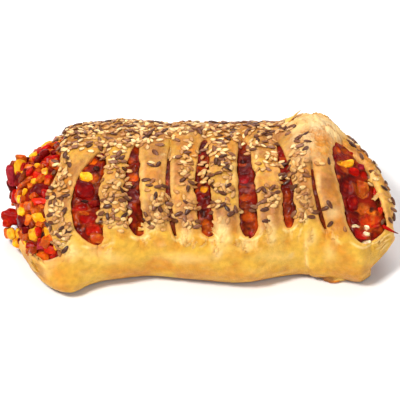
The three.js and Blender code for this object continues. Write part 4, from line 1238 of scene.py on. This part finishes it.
def on_surface(tree, across, down):
    """The place and the way out where the ray through a pixel meets or passes nearest to a surface."""
    eye = AIM - AHEAD * DISTANCE
    right, up = (across - IMAGE / 2) / PIXELS_PER_MM, (IMAGE / 2 - down) / PIXELS_PER_MM
    aim = AIM + np.array([right, 0, 0]) + UPWARD * up
    ray = (aim - eye) / np.linalg.norm(aim - eye)
    place, normal, _, _ = tree.ray_cast(Vector(eye), Vector(ray))
    if place is None:
        steps = [aim + ray * step for step in range(-RAY_REACH, RAY_REACH)]
        near = [tree.find_nearest(Vector(point)) for point in steps]
        best = min(range(len(near)), key=lambda k: near[k][3])
        return steps[best], -ray
    normal = np.array(normal)
    facing = -ray + 0.8 * normal * (1 if normal @ ray < 0 else -1)
    return np.array(place), facing / np.linalg.norm(facing)


def axes_facing(facing):
    """Axes of a piece that faces that way: along the roll, across it and outwards."""
    across = np.array([1.0, 0, 0]) - facing * facing[0]
    across /= np.linalg.norm(across)
    return across, np.cross(facing, across), facing


def bit_spin(number):
    """A piece's small turn from the photograph's upright, in radians."""
    return (scatter(number + 0.5) - 0.5) * 0.5


def bit_reach(offset, warp, axes, spin, wide, high):
    """Distance from a piece's middle in its own sizes: 1 at its edge, which is squarish and uneven."""
    a, b = offset @ axes[0], offset @ axes[1]
    a, b = a * math.cos(spin) + b * math.sin(spin), b * math.cos(spin) - a * math.sin(spin)
    a = (a + 0.6 * warp[:, 0]) / (wide / 2)
    b = (b + 0.6 * warp[:, 1]) / (high / 2)
    return (np.abs(a) ** BUMP_SQUARENESS + np.abs(b) ** BUMP_SQUARENESS) ** (1 / BUMP_SQUARENESS)


def sink_bits(flat, tone, tree):
    """Presses the pieces that show into the sauce: each is a bump with its own colour and a ring of painted
    shade round it; between the ends, all gets painted shade.
    """
    mouth = ramp(flat[:, 0], *MOUTH_RELIEF)
    height = (0.65 + 0.7 * mouth) * layered(flat, 5.0, 4, 51)
    height += 0.15 * smooth(1 - cells(flat, 3.0, 52) * 1.5)
    warp = np.stack([layered(flat, 2.4, 3, 55 + k) for k in range(2)], -1)
    for number, (tint, across, down, wide, high) in enumerate(BITS):
        wide, high = wide / PIXELS_PER_MM, high / PIXELS_PER_MM
        origin, facing = on_surface(tree, across, down)
        near = np.flatnonzero(np.linalg.norm(flat - origin, axis=1) < 0.8 * max(wide, high) + 2)
        q = bit_reach(flat[near] - origin, warp[near], axes_facing(facing), bit_spin(number), wide, high)
        rise = (0.35 + 0.2 * min(wide, high)) * np.sqrt(np.clip(1 - q ** 3, 0, 1))
        height[near] = np.maximum(height[near] * 0.5 + rise, height[near] - 0.5 * smooth(1.35 - q))
        edge = ramp(q, 1.15, 0.8)
        tone[near] = mixed(tone[near], chunk_tone(flat[near], tint, number), edge * 0.85)
        # a ring of painted shade where each piece meets the sauce
        tone[near] *= (1 - 0.25 * smooth(1 - np.abs(q - 1.15) / 0.25))[:, None]
    # painted shade over the filling between the ends, where it shows only in the slits
    tone *= mixed(np.ones(3), SLIT_PAINTED_SHADE, ramp(np.abs(flat[:, 0]), *SLIT_ENDS))
    return height + 0.1 * layered(flat, 1.2, 2, 53)


def make_sauce(material):
    """The body of the filling, with the pieces that show sunk in it: its points and a tree of its surface."""
    grid = sauce_grid()
    rows, columns = grid.shape[:2]
    faces = [tuple(f) for f in grid_faces(rows, columns, close_columns=True).tolist()]
    faces += [tuple(range(columns)), tuple((rows - 1) * columns + k for k in reversed(range(columns)))]
    flat, out = grid.reshape(-1, 3), outward_of(grid).reshape(-1, 3)
    tone = sauce_tone(flat)
    height = sink_bits(flat, tone, tree_of(flat, faces))
    flat = inside_box(flat + out * height[:, None])
    obj = new_object("sauce", flat, faces, material, tone)
    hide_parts("filling")
    return flat, tree_of(flat, faces)


def chunk_form(size, number, blunt, side=8):
    """A rounded, uneven block of vegetable."""
    points, faces = CUBES[side]
    norm = (np.abs(points) ** blunt).sum(-1, keepdims=True) ** (1 / blunt)
    points = points / norm
    shift = np.array([number * 3.1, number * 1.7, number * 0.9])
    uneven = 1 + 0.17 * noise(points + shift, 0.95, 71) + 0.08 * noise(points + shift, 0.42, 72)
    points = points * uneven[:, None]
    skew = (scatter(number + np.array([0.1, 0.2, 0.3])) - 0.5) * 0.7
    points[:, 0] += skew[0] * points[:, 1]
    points[:, 2] += skew[1] * points[:, 0] * 0.5 + skew[2] * points[:, 1] * 0.5
    return points * np.asarray(size) / 2, faces


def turned(points, tilt):
    """Points turned about X, then Y, then Z, in degrees, as the solids' pieces are."""
    a, b, c = np.radians(tilt)
    rx = np.array([[1, 0, 0], [0, math.cos(a), -math.sin(a)], [0, math.sin(a), math.cos(a)]])
    ry = np.array([[math.cos(b), 0, math.sin(b)], [0, 1, 0], [-math.sin(b), 0, math.cos(b)]])
    rz = np.array([[math.cos(c), -math.sin(c), 0], [math.sin(c), math.cos(c), 0], [0, 0, 1]])
    return points @ (rx @ ry @ rz).T


def chunk_tone(points, tint, number):
    """A piece's own colour with lighter and darker patches, and sauce smeared over some of it."""
    base, dark, light = (linear(c) for c in TINTS[tint])
    tone = mixed(np.broadcast_to(base, points.shape), dark, smooth(0.4 + layered(points, 2.8, 3, 81) * 1.3))
    tone = mixed(tone, light, smooth(layered(points + 50, 2.0, 3, 82) * 1.8 - 0.2) * 0.8)
    smear = smooth(layered(points, 2.4, 3, 83) * 1.6 - 0.35) * (0.5 if tint in CORN else 0.7)
    tone = mixed(tone, linear(GLAZED_SMEAR if tint in GLAZED else RED_SMEAR), smear)
    tone = tone * (1 + 0.3 * layered(points, 0.9, 2, 84))[:, None]
    return tone * ((0.84 if tint in CORN else 0.66) + 0.3 * scatter(number + 0.9))


def blunt_of(blunts, tint, in_heap):
    """How square a piece is."""
    corn, heap, elsewhere = blunts
    return corn if tint in CORN else heap if in_heap else elsewhere


def add_piece(batches, points, faces, tint, number):
    """Adds a piece to the batch of its material, corn or pepper."""
    batches[tint in CORN].add(inside_box(points), faces, chunk_tone(points, tint, number))


def place_bits(tree, batches):
    """Sets the pieces that stand out of the sauce, and returns where all are, with their sizes."""
    taken = []
    for number, (tint, across, down, wide, high) in enumerate(BITS):
        origin, facing = on_surface(tree, across, down)
        wide, high = wide / PIXELS_PER_MM, high / PIXELS_PER_MM
        taken.append((origin, 0.55 * (wide + high)))
        in_heap = across < HEAP_SEEN["across"] and down > HEAP_SEEN["down"]
        stands = in_heap or tint in CORN or scatter(number + 0.07) < STANDING_SHARE
        if within(across, NARROW_SLITS_SEEN) or not stands:
            continue
        thick = min(wide, high) * 0.75 + 0.5
        local, faces = chunk_form((wide, high, thick), number, blunt_of(BIT_BLUNTS, tint, in_heap))
        sunk = -0.05 if in_heap else 0.12
        place = origin - facing * thick * sunk
        points = placed(local, place, axes_facing(facing), bit_spin(number), 0, 0)
        add_piece(batches, points, faces, tint, number)
    return taken


def place_outer(batches):
    """Sets the outer pieces of the heap, and returns where they are, with their sizes."""
    taken = []
    for number, (tint, place, size, tilt) in enumerate(OUTER, OUTER_NUMBERS):
        local, faces = chunk_form(size, number, blunt_of(OUTER_BLUNTS, tint, True))
        add_piece(batches, turned(local, tilt) + np.array(place), faces, tint, number)
        taken.append((np.array(place), min(size)))
    return taken


def turn_of(points):
    """The turn of points on the filling."""
    height = np.maximum(points[:, 2] - BELLY, -FILLING_DROP)
    turn = np.degrees(np.arctan2(height / FILLING_RISE, points[:, 1] / FILLING_REACH))
    return np.where(turn < -FLOOR_TURN, turn + 360, turn)


def past_rim(points):
    """Which points lie outside the pastry's two ends."""
    turn, x = turn_of(points), points[:, 0]
    low = ramp(points[:, 2], *SPILL["heights"]) * SPILL["inwards"]
    return (x < LEFT_RIM(turn) - PAST_LEFT + low) | (x > RIGHT_RIM(turn) - PAST_RIGHT - low)


def lies_open(points):
    """Where the filling lies open: in the mouths and in the two wide slits."""
    turn = turn_of(points)
    shown = past_rim(points)
    for slit in (SLITS[0], SLITS[-1]):
        centre, half = slit_at(slit, turn)
        shown |= np.abs(points[:, 0] - centre) < half - SLIT_MARGIN
    return shown & (points[:, 2] > OPEN_HEIGHT)


def end_spots(tree):
    """Places all over the filling's two end faces, in a scattered order."""
    spots = []
    for side in (-1, 1):
        for y in np.arange(*END_Y, END_STEP):
            for z in np.arange(*END_Z, END_STEP):
                spots.append(tree.ray_cast(Vector((side * FAR_OUT, y, z)), Vector((-side, 0, 0)))[0])
    spots = np.array([spot for spot in spots if spot is not None])
    return spots[np.argsort(scatter(np.arange(len(spots)) + 0.63))]


def crumb_spots(points, tree):
    """Places for small pieces, and whether each is in sight of the photograph's camera."""
    spots = points[lies_open(points)][::CRUMB_STRIDE]
    spots = spots[np.argsort(scatter(np.arange(len(spots)) + 0.37))]
    ends = end_spots(tree)
    in_slit = np.concatenate([~past_rim(spots), np.zeros(len(ends), bool)])
    spots = np.concatenate([spots, ends])
    x, y = spots[:, 0], spots[:, 1]
    in_view = (y < IN_SIGHT["y"]) & (x < IN_SIGHT["x"]) | (x > IN_SIGHT["x"]) & in_slit
    return spots, in_view


def crumb_size(number, in_view, y):
    """A small piece's length: more even in sight, larger at the back of the ends."""
    if in_view:
        return 2.5 + 2.6 * scatter(number + 0.2) ** 2
    return 2.6 + 3.2 * scatter(number + 0.2) ** 1.5 * (1.5 if y > 22 else 0.7)


def add_crumb(batches, tree, spot, in_view, size, number):
    """Adds a small piece, lying on the filling any way round."""
    kinds = SHOWN_CRUMBS if in_view else HIDDEN_CRUMBS
    tint = kinds[int(scatter(number + 0.6) * len(kinds))]
    facing = np.array(tree.find_nearest(Vector(spot))[1])
    sizes = (size, size * (0.6 + 0.5 * scatter(number)), size * 0.7)
    local, faces = chunk_form(sizes, number, blunt_of(CRUMB_BLUNTS, tint, in_view), 6)
    place = spot - facing * size * (0.15 if in_view else 0.05)
    points = placed(local, place, axes_facing(facing), scatter(number + 0.4) * 6.3, 0, 0)
    add_piece(batches, points, faces, tint, number)


def scatter_crumbs(points, tree, taken, batches):
    """Small pieces between the larger ones and on the sides that the photograph doesn't show."""
    centres = [place for place, _ in taken]
    rooms = [size * 0.42 for _, size in taken]
    number = CRUMB_NUMBERS
    for spot, in_view in zip(*crumb_spots(points, tree)):
        gap = np.min(np.linalg.norm(np.array(centres) - spot, axis=1) - np.array(rooms))
        if gap < CRUMB_GAP or in_view and (spot[0] > HEAP_END or gap < SHOWN_CRUMB_GAP):
            continue
        number += 1
        size = crumb_size(number, in_view, spot[1])
        add_crumb(batches, tree, spot, in_view, size, number)
        centres.append(spot)
        rooms.append(size * 0.4)


def make_spike(batches):
    """The thin dark-tipped sliver of pepper that sticks out of the right end."""
    foot, tip = np.array(SPIKE["foot"]), np.array(SPIKE["tip"])
    length = np.linalg.norm(tip - foot)
    local, faces = chunk_form((length, SPIKE["width"], SPIKE["thickness"]), SPIKE_NUMBER, SPIKE_BLUNT)
    share = local[:, :1] / length + 0.5
    local[:, 1:] *= 1.1 - 0.8 * smooth(share)
    local[:, 2] += 0.5 * (share[:, 0] - 0.5) ** 2 * length * 0.3
    points = placed(local, (foot + tip) / 2, axes_from(tip - foot, np.array([0, 1.0, 0])), 0, 0, 0)
    tip_shade = ramp(share[:, 0], *SPIKE["dark"]) * 0.9
    tone = mixed(chunk_tone(points, "red", SPIKE_NUMBER), linear(SPIKE_TIP), tip_shade)
    batches[False].add(inside_box(points), faces, tone)


def make_filling(sauce, vegetable, corn):
    """The sauce and the pieces on it; the batches are found by whether a piece is corn."""
    points, tree = make_sauce(sauce)
    batches = {False: Batch(), True: Batch()}
    taken = place_bits(tree, batches) + place_outer(batches)
    taken.append((np.array(SPIKE["foot"]), SPIKE["room"]))
    scatter_crumbs(points, tree, taken, batches)
    make_spike(batches)
    batches[False].make("pepper_pieces", vegetable, "filling")
    batches[True].make("corn_and_onion_pieces", corn, "filling")


# ---- Flakes and torn layers ----

# Where thin flakes lift off the crust: pixels across and down, the spread both ways, how many, how long and
# how wide in mm, and the slant of their length.
FLAKY_PLACES = [
    (318, 121, 22, 8, 20, 8, 4.5, 15), (342, 132, 10, 7, 7, 6, 3, 35), (300, 125, 9, 5, 6, 7, 3.5, 30),
    (186, 236, 6, 8, 9, 5, 2.2, 85), (221, 230, 7, 15, 13, 5.5, 2.4, 85), (217, 250, 6, 6, 6, 4.5, 2.2, 80),
    (245, 243, 9, 6, 9, 4, 2.2, 95), (271, 230, 5, 12, 8, 5, 2, 88), (306, 214, 5, 12, 6, 5, 2, 90),
    (312, 234, 5, 8, 4, 5, 2, 85), (152, 228, 10, 5, 6, 4.5, 1.8, 20), (196, 243, 10, 5, 6, 4, 1.7, 60),
    (307, 252, 2, 12, 3, 6, 1.8, 90), (36, 263, 8, 6, 7, 4.5, 1.8, -35), (384, 242, 7, 5, 6, 5, 2.8, 40),
    (377, 182, 4, 18, 5, 5, 2, 75), (69, 246, 7, 7, 4, 5, 2.2, 70), (112, 225, 7, 4, 4, 4.5, 2, 10),
    (162, 226, 6, 4, 3, 4, 2, 10),
]
# The flakes that the photograph doesn't show: their number, the share that lies on the bulge, the X of the
# bulge and of the whole roll, and their turns and sizes.
HIDDEN_FLAKES = {"count": 40, "on_bulge": 0.4, "bulge": (38, 64), "roll": (-58, 60), "turns": (-24, 56),
                 "length": 6.5, "width": 3.5}
FLAKE_NUMBERS, HIDDEN_NUMBERS = 9000, 9900  # the numbers of the first flake in sight and out of it
FLAKE_SIZES = (0.7, 1.3)  # the smallest and the largest, against the length and width given
FLAKE_THICKNESS = 0.3
FLAKE_CREASE = 50  # the angle in degrees from which a flake's edge is sharp
FLAKE_TURN_PER_MM = 1.35
# The thin flake at the back right: where its foot is, its sizes, how steeply it rises in degrees, and how far
# past its foot its middle lies, as a share of its length.
STANDING_FLAKE = {"x": 39.6, "turn": 56.0, "length": 8.4, "width": 3.4, "thickness": 0.5, "rise": 8.0,
                  "overhang": 0.35}
# The scrap under the front right: its middle and size, the grid's steps a side, and how many terraces it has
# and how far they step in, as a share of its size.
TAB = {"place": (59.2, -33.2, 2.1), "size": (11.0, 7.6, 4.2), "side": 24, "terraces": 2.5, "step": 0.09}


def hidden_flake_spots():
    """X, turn, length, width and slant of the flakes that the photograph doesn't show."""
    key = HIDDEN_NUMBERS + np.arange(HIDDEN_FLAKES["count"])
    along = scatter(key + 0.6)
    x = np.where(scatter(key) < HIDDEN_FLAKES["on_bulge"], between(HIDDEN_FLAKES["bulge"], along),
                 between(HIDDEN_FLAKES["roll"], along))
    turn = between(HIDDEN_FLAKES["turns"], scatter(key + 0.3))
    size = between(FLAKE_SIZES, scatter(key + 0.9))
    return np.stack([x, turn, HIDDEN_FLAKES["length"] * size, HIDDEN_FLAKES["width"] * size,
                     360 * scatter(key)])


def flake_spots():
    """X, turn, length, width and slant of each flake."""
    parts = []
    for number, (u, v, wide, high, count, length, width, slant) in enumerate(FLAKY_PLACES):
        key = FLAKE_NUMBERS + number * 41 + np.arange(count)
        distance, angle = np.sqrt(scatter(key + 0.21)), scatter(key + 0.47) * 2 * math.pi
        x, turn = place_seen(u + wide * distance * np.cos(angle), v + high * distance * np.sin(angle))
        size = between(FLAKE_SIZES, scatter(key + 0.83))
        parts.append(np.stack([x, turn, length * size, width * size, slant + 40 * (scatter(key) - 0.5)]))
    return np.concatenate(parts + [hidden_flake_spots()], axis=1).T


def thin_sheet_faces(rows, columns):
    """Faces of a thin sheet: its top, its underside and its rim all round."""
    size = rows * columns
    top = [tuple(f) for f in grid_faces(rows, columns).tolist()]
    under = [tuple(c + size for c in f[::-1]) for f in top]
    ring = ([(0, c) for c in range(columns)] + [(r, columns - 1) for r in range(1, rows)]
            + [(rows - 1, c) for c in range(columns - 2, -1, -1)] + [(r, 0) for r in range(rows - 2, 0, -1)])
    ring = [r * columns + c for r, c in ring]
    return top + under + [(a, a + size, b + size, b) for a, b in zip(ring, ring[1:] + ring[:1])]


def flake_form(x, turn, length, width, slant, number, columns=13, rows=8):
    """A thin torn sheet that grows out of the crust at one side and lifts off it at the other."""
    s, t = np.meshgrid(np.linspace(-1, 1, columns), np.linspace(0, 1, rows))
    place = np.stack([s * 2.2 + number * 3.3, t * 1.4, t * 0 + number], -1)
    ragged = noise(place, 0.7, 91) + 0.6 * noise(place, 0.3, 92)
    along = s * length / 2 * (1 + 0.12 * ragged)
    across = (t - 0.5) * width * (1 + 0.5 * ragged * t)
    angle = math.radians(slant)
    dx = along * math.cos(angle) - across * math.sin(angle)
    dt = -(along * math.sin(angle) + across * math.cos(angle)) * FLAKE_TURN_PER_MM
    free = t ** 1.6 * (1 - s ** 4)
    curl = (0.3 + 0.9 * scatter(number + 0.75) ** 2) * free
    fx, fturn = (x + dx).ravel(), (turn + dt).ravel()
    top = surface(fx, fturn, (curl + FLAKE_THICKNESS * free - 0.06).ravel())
    under = surface(fx, fturn, (curl * 0.8 - 0.15).ravel())
    free = free.ravel()
    tone = crust_tone(roll_point(fx, fturn, 0), fx, fturn, 0.25 * free, 0 * free, 0 * free, 0 * free)
    tone = mixed(tone, linear(CREAM), free * (0.3 + 0.4 * scatter(number + 0.5)))
    edge = ramp(t.ravel(), 0.8, 1) * (0.3 + 0.7 * scatter(number + 0.95))
    tone = mixed(tone, linear(DEEP_GOLD), edge * 0.6)
    return np.concatenate([top, under]), thin_sheet_faces(rows, columns), np.tile(tone, (2, 1))


def standing_flake():
    """The thin tapered flake that stands off the back bulge."""
    points, faces = CUBES[8]
    blade = points * np.array([STANDING_FLAKE[k] for k in ("length", "width", "thickness")]) / 2
    share = (blade[:, 0] / STANDING_FLAKE["length"] + 0.5)[:, None]
    blade[:, 1:] *= 1 - 0.85 * share ** 1.3
    blade[:, 2] += 0.5 * noise(blade, (2.2, 2, 9), 92) + 0.9 * share[:, 0] ** 2
    blade[:, 0] += STANDING_FLAKE["length"] * STANDING_FLAKE["overhang"]
    origin, *axes = surface_frames(np.array([STANDING_FLAKE["x"]]), np.array([STANDING_FLAKE["turn"]]))
    standing = placed(blade, origin[0], [a[0] for a in axes], 0, math.radians(STANDING_FLAKE["rise"]), 0)
    tone = mixed(np.broadcast_to(linear(PALE), standing.shape), linear(DEEP_GOLD), share[:, 0] ** 2)
    return standing, faces, tone


def make_flakes(material):
    """All flakes, the standing one last."""
    batch = Batch()
    flakes = [flake_form(*spot, number) for number, spot in enumerate(flake_spots())]
    for points, faces, tone in flakes + [standing_flake()]:
        batch.add(inside_box(points), faces, tone)
    batch.make("pastry_flakes", material, "crust", FLAKE_CREASE)


def make_tab(material):
    """The browned scrap of pastry that sticks out under the front edge."""
    points, faces = cube_grid(TAB["side"])
    norm = (np.abs(points) ** 4).sum(-1, keepdims=True) ** 0.25
    local = points / norm * np.array(TAB["size"]) / 2
    terrace = layered(local, (3.5, 3.0, 1.2), 3, 93)
    steps = np.round(terrace * TAB["terraces"])[:, None]
    local = local * (1 + TAB["step"] * steps * np.array([1, 1, 0.8]))
    place = local + np.array(TAB["place"])
    place[:, 2] = np.maximum(place[:, 2], 0)
    brown = smooth(0.5 - local[:, 0] / 5 + layered(local, 2.5, 3, 94) * 0.8)
    tone = mixed(mixed(np.broadcast_to(linear(PALE), place.shape), linear(AMBER), smooth(terrace * 2 + 0.4)),
                 linear(TOAST), brown * 0.8)
    tone = mixed(tone, linear(DARK_TOAST), smooth(-local[:, 0] / 3 - 0.9) * 0.7)
    new_object("tab", inside_box(place), faces, material, tone)


# ---- Materials ----

# For each material: the grain's scale, how far the grain shades the colour, the roughness, the strength and
# distance in metres of the bump, the gloss (specular level, coat weight and roughness), and the glow of light
# let through (weight, how far each colour travels, and the scale in metres).
MATERIALS = {
    "baked_crust": dict(grain=420, shades=(0.88, 1.12), roughness=(0.35, 0.6), bump=(0.8, 0.0004),
                        gloss=(0.25, 0.05, 0.3), glow=(0.2, (1.0, 0.55, 0.3), 0.0012)),
    "torn_layers": dict(grain=420, shades=(0.92, 1.1), roughness=(0.4, 0.65), bump=(0.3, 0.0002),
                        gloss=(0.25, 0.05, 0.3), glow=(0.0, (1.0, 0.5, 0.2), 0.001)),
    "sesame": dict(grain=900, shades=(0.88, 1.12), roughness=(0.35, 0.5), bump=(0.2, 0.0001),
                   gloss=(0.4, 0.1, 0.25), glow=(0.2, (1.0, 0.5, 0.2), 0.001)),
    "linseed": dict(grain=800, shades=(0.8, 1.3), roughness=(0.3, 0.45), bump=(0.15, 0.0001),
                    gloss=(0.3, 0.06, 0.2), glow=(0.0, (1.0, 0.5, 0.2), 0.001)),
    "pepper": dict(grain=300, shades=(0.8, 1.2), roughness=(0.2, 0.4), bump=(0.3, 0.0004),
                   gloss=(0.09, 0.02, 0.1), glow=(0.3, (1.0, 0.12, 0.04), 0.002)),
    "sweetcorn": dict(grain=300, shades=(0.85, 1.1), roughness=(0.2, 0.4), bump=(0.3, 0.0004),
                      gloss=(0.09, 0.02, 0.1), glow=(0.3, (1.0, 0.4, 0.06), 0.002)),
    "sauce": dict(grain=260, shades=(0.75, 1.25), roughness=(0.2, 0.4), bump=(0.4, 0.0004),
                  gloss=(0.09, 0.02, 0.1), glow=(0.2, (1.0, 0.15, 0.05), 0.002)),
}
FINE_GRAIN = 3.5  # how many times finer the grain of the roughness and the bump is

def node_material(name):
    """A new material, its nodes, its links and its shader."""
    material = bpy.data.materials.new(name)
    material.use_nodes = True
    nodes = material.node_tree.nodes
    return material, nodes, material.node_tree.links, nodes["Principled BSDF"]


def add_noise(nodes, links, scale, detail):
    """A noise texture that stays with the object, as a value from 0 to 1."""
    coordinates = nodes.new("ShaderNodeTexCoord")
    texture = nodes.new("ShaderNodeTexNoise")
    texture.inputs["Scale"].default_value = scale
    texture.inputs["Detail"].default_value = detail
    links.new(coordinates.outputs["Object"], texture.inputs["Vector"])
    return texture.outputs["Fac"]


def map_range(nodes, links, value, low, high):
    """A noise's usual range, 0.3 to 0.7, stretched to another one."""
    node = nodes.new("ShaderNodeMapRange")
    node.inputs["From Min"].default_value = 0.3
    node.inputs["From Max"].default_value = 0.7
    node.inputs["To Min"].default_value = low
    node.inputs["To Max"].default_value = high
    links.new(value, node.inputs["Value"])
    return node.outputs["Result"]


def toned(nodes, links, grain, low, high):
    """The piece's own tone, made lighter and darker by a fine grain."""
    tone = nodes.new("ShaderNodeVertexColor")
    tone.layer_name = "tone"
    shade = nodes.new("ShaderNodeVectorMath")
    shade.operation = "SCALE"
    links.new(tone.outputs["Color"], shade.inputs[0])
    links.new(map_range(nodes, links, grain, low, high), shade.inputs["Scale"])
    return shade.outputs["Vector"]


def add_bump(nodes, links, shader, height, strength, distance):
    """Bumps in the shader's light, from a height."""
    bump = nodes.new("ShaderNodeBump")
    bump.inputs["Strength"].default_value = strength
    bump.inputs["Distance"].default_value = distance
    links.new(height, bump.inputs["Height"])
    links.new(bump.outputs["Normal"], shader.inputs["Normal"])


def food_material(name, grain, shades, roughness, bump, gloss, glow):
    """A material that takes its colour from the piece, with a grain in colour, roughness and height."""
    material, nodes, links, shader = node_material(name)
    coarse = add_noise(nodes, links, grain, 4.0)
    fine = add_noise(nodes, links, grain * FINE_GRAIN, 3.0)
    links.new(toned(nodes, links, coarse, *shades), shader.inputs["Base Color"])
    links.new(map_range(nodes, links, fine, *roughness), shader.inputs["Roughness"])
    add_bump(nodes, links, shader, fine, *bump)
    constants = zip(("Specular IOR Level", "Coat Weight", "Coat Roughness", "Subsurface Weight",
                     "Subsurface Radius", "Subsurface Scale"), gloss + glow)
    for socket, value in constants:
        shader.inputs[socket].default_value = value
    return material


# ---- Light, floor and camera ----

SENSOR = 36.0
FARTHEST = 20.0
# The lights: place and width in metres, power and colour. Each shines at the origin.
LIGHTS = {
    "key": ((-0.5, -0.5, 1.05), 0.3, 15.0, (1, 0.98, 0.95)),
    "fill": ((0.8, -0.7, 0.5), 0.7, 2.5, (1, 1, 1)),
    "top": ((0.1, 0.5, 1.0), 0.6, 5.5, (1, 1, 1)),
}
SKY, SKY_STRENGTH = (1, 1, 1, 1), 0.4
FLOOR = {"reach": 4, "drop": 0.0003, "colour": (0.9, 0.9, 0.9, 1), "roughness": 0.9}


def make_camera():
    """A camera that sees the strudel as the photograph does."""
    data = bpy.data.cameras.new("camera")
    camera = bpy.data.objects.new("camera", data)
    link(camera)
    camera.location = (AIM - MIDDLE - AHEAD * DISTANCE) * MM
    camera.rotation_euler = (math.pi / 2 - SLANT, 0, 0)
    data.sensor_width = SENSOR
    data.lens = SENSOR * DISTANCE / (IMAGE / PIXELS_PER_MM)
    data.clip_end = FARTHEST
    bpy.context.scene.camera = camera


def make_light(name, place, width, power, colour):
    """A round, soft light."""
    data = bpy.data.lights.new(name, "AREA")
    data.shape = "DISK"
    data.size = width
    data.energy = power
    data.color = colour
    light = bpy.data.objects.new(name, data)
    light.location = place
    light.rotation_euler = (-Vector(place)).to_track_quat("-Z", "Y").to_euler()
    link(light)


def make_sky():
    """An even white light from all sides."""
    world = bpy.data.worlds.new("studio")
    world.use_nodes = True
    background = world.node_tree.nodes["Background"]
    background.inputs["Color"].default_value = SKY
    background.inputs["Strength"].default_value = SKY_STRENGTH
    bpy.context.scene.world = world


def make_floor():
    """A plain pale floor just under the roll."""
    far = FLOOR["reach"]
    mesh = bpy.data.meshes.new("floor")
    mesh.from_pydata([(-far, -far, 0), (far, -far, 0), (far, far, 0), (-far, far, 0)], [], [(0, 1, 2, 3)])
    floor = bpy.data.objects.new("floor", mesh)
    floor.location = (0, 0, -FLOOR["drop"])
    link(floor)
    material, _, _, shader = node_material("pale_floor")
    shader.inputs["Base Color"].default_value = FLOOR["colour"]
    shader.inputs["Roughness"].default_value = FLOOR["roughness"]
    mesh.materials.append(material)


def make_studio():
    """The sky, the lights, the floor and the plain way that colours are shown."""
    make_sky()
    for name, settings in LIGHTS.items():
        make_light(name, *settings)
    make_floor()
    bpy.context.scene.view_settings.view_transform = "Standard"


# ---- The object ----


def main():
    """All pieces, each with its material, then the studio and the camera."""
    looks = {name: food_material(name, **values) for name, values in MATERIALS.items()}
    make_pastry(looks["baked_crust"])
    make_flakes(looks["torn_layers"])
    make_tab(looks["torn_layers"])
    make_filling(looks["sauce"], looks["pepper"], looks["sweetcorn"])
    make_seeds(looks["sesame"], looks["linseed"])
    make_studio()
    make_camera()


main()
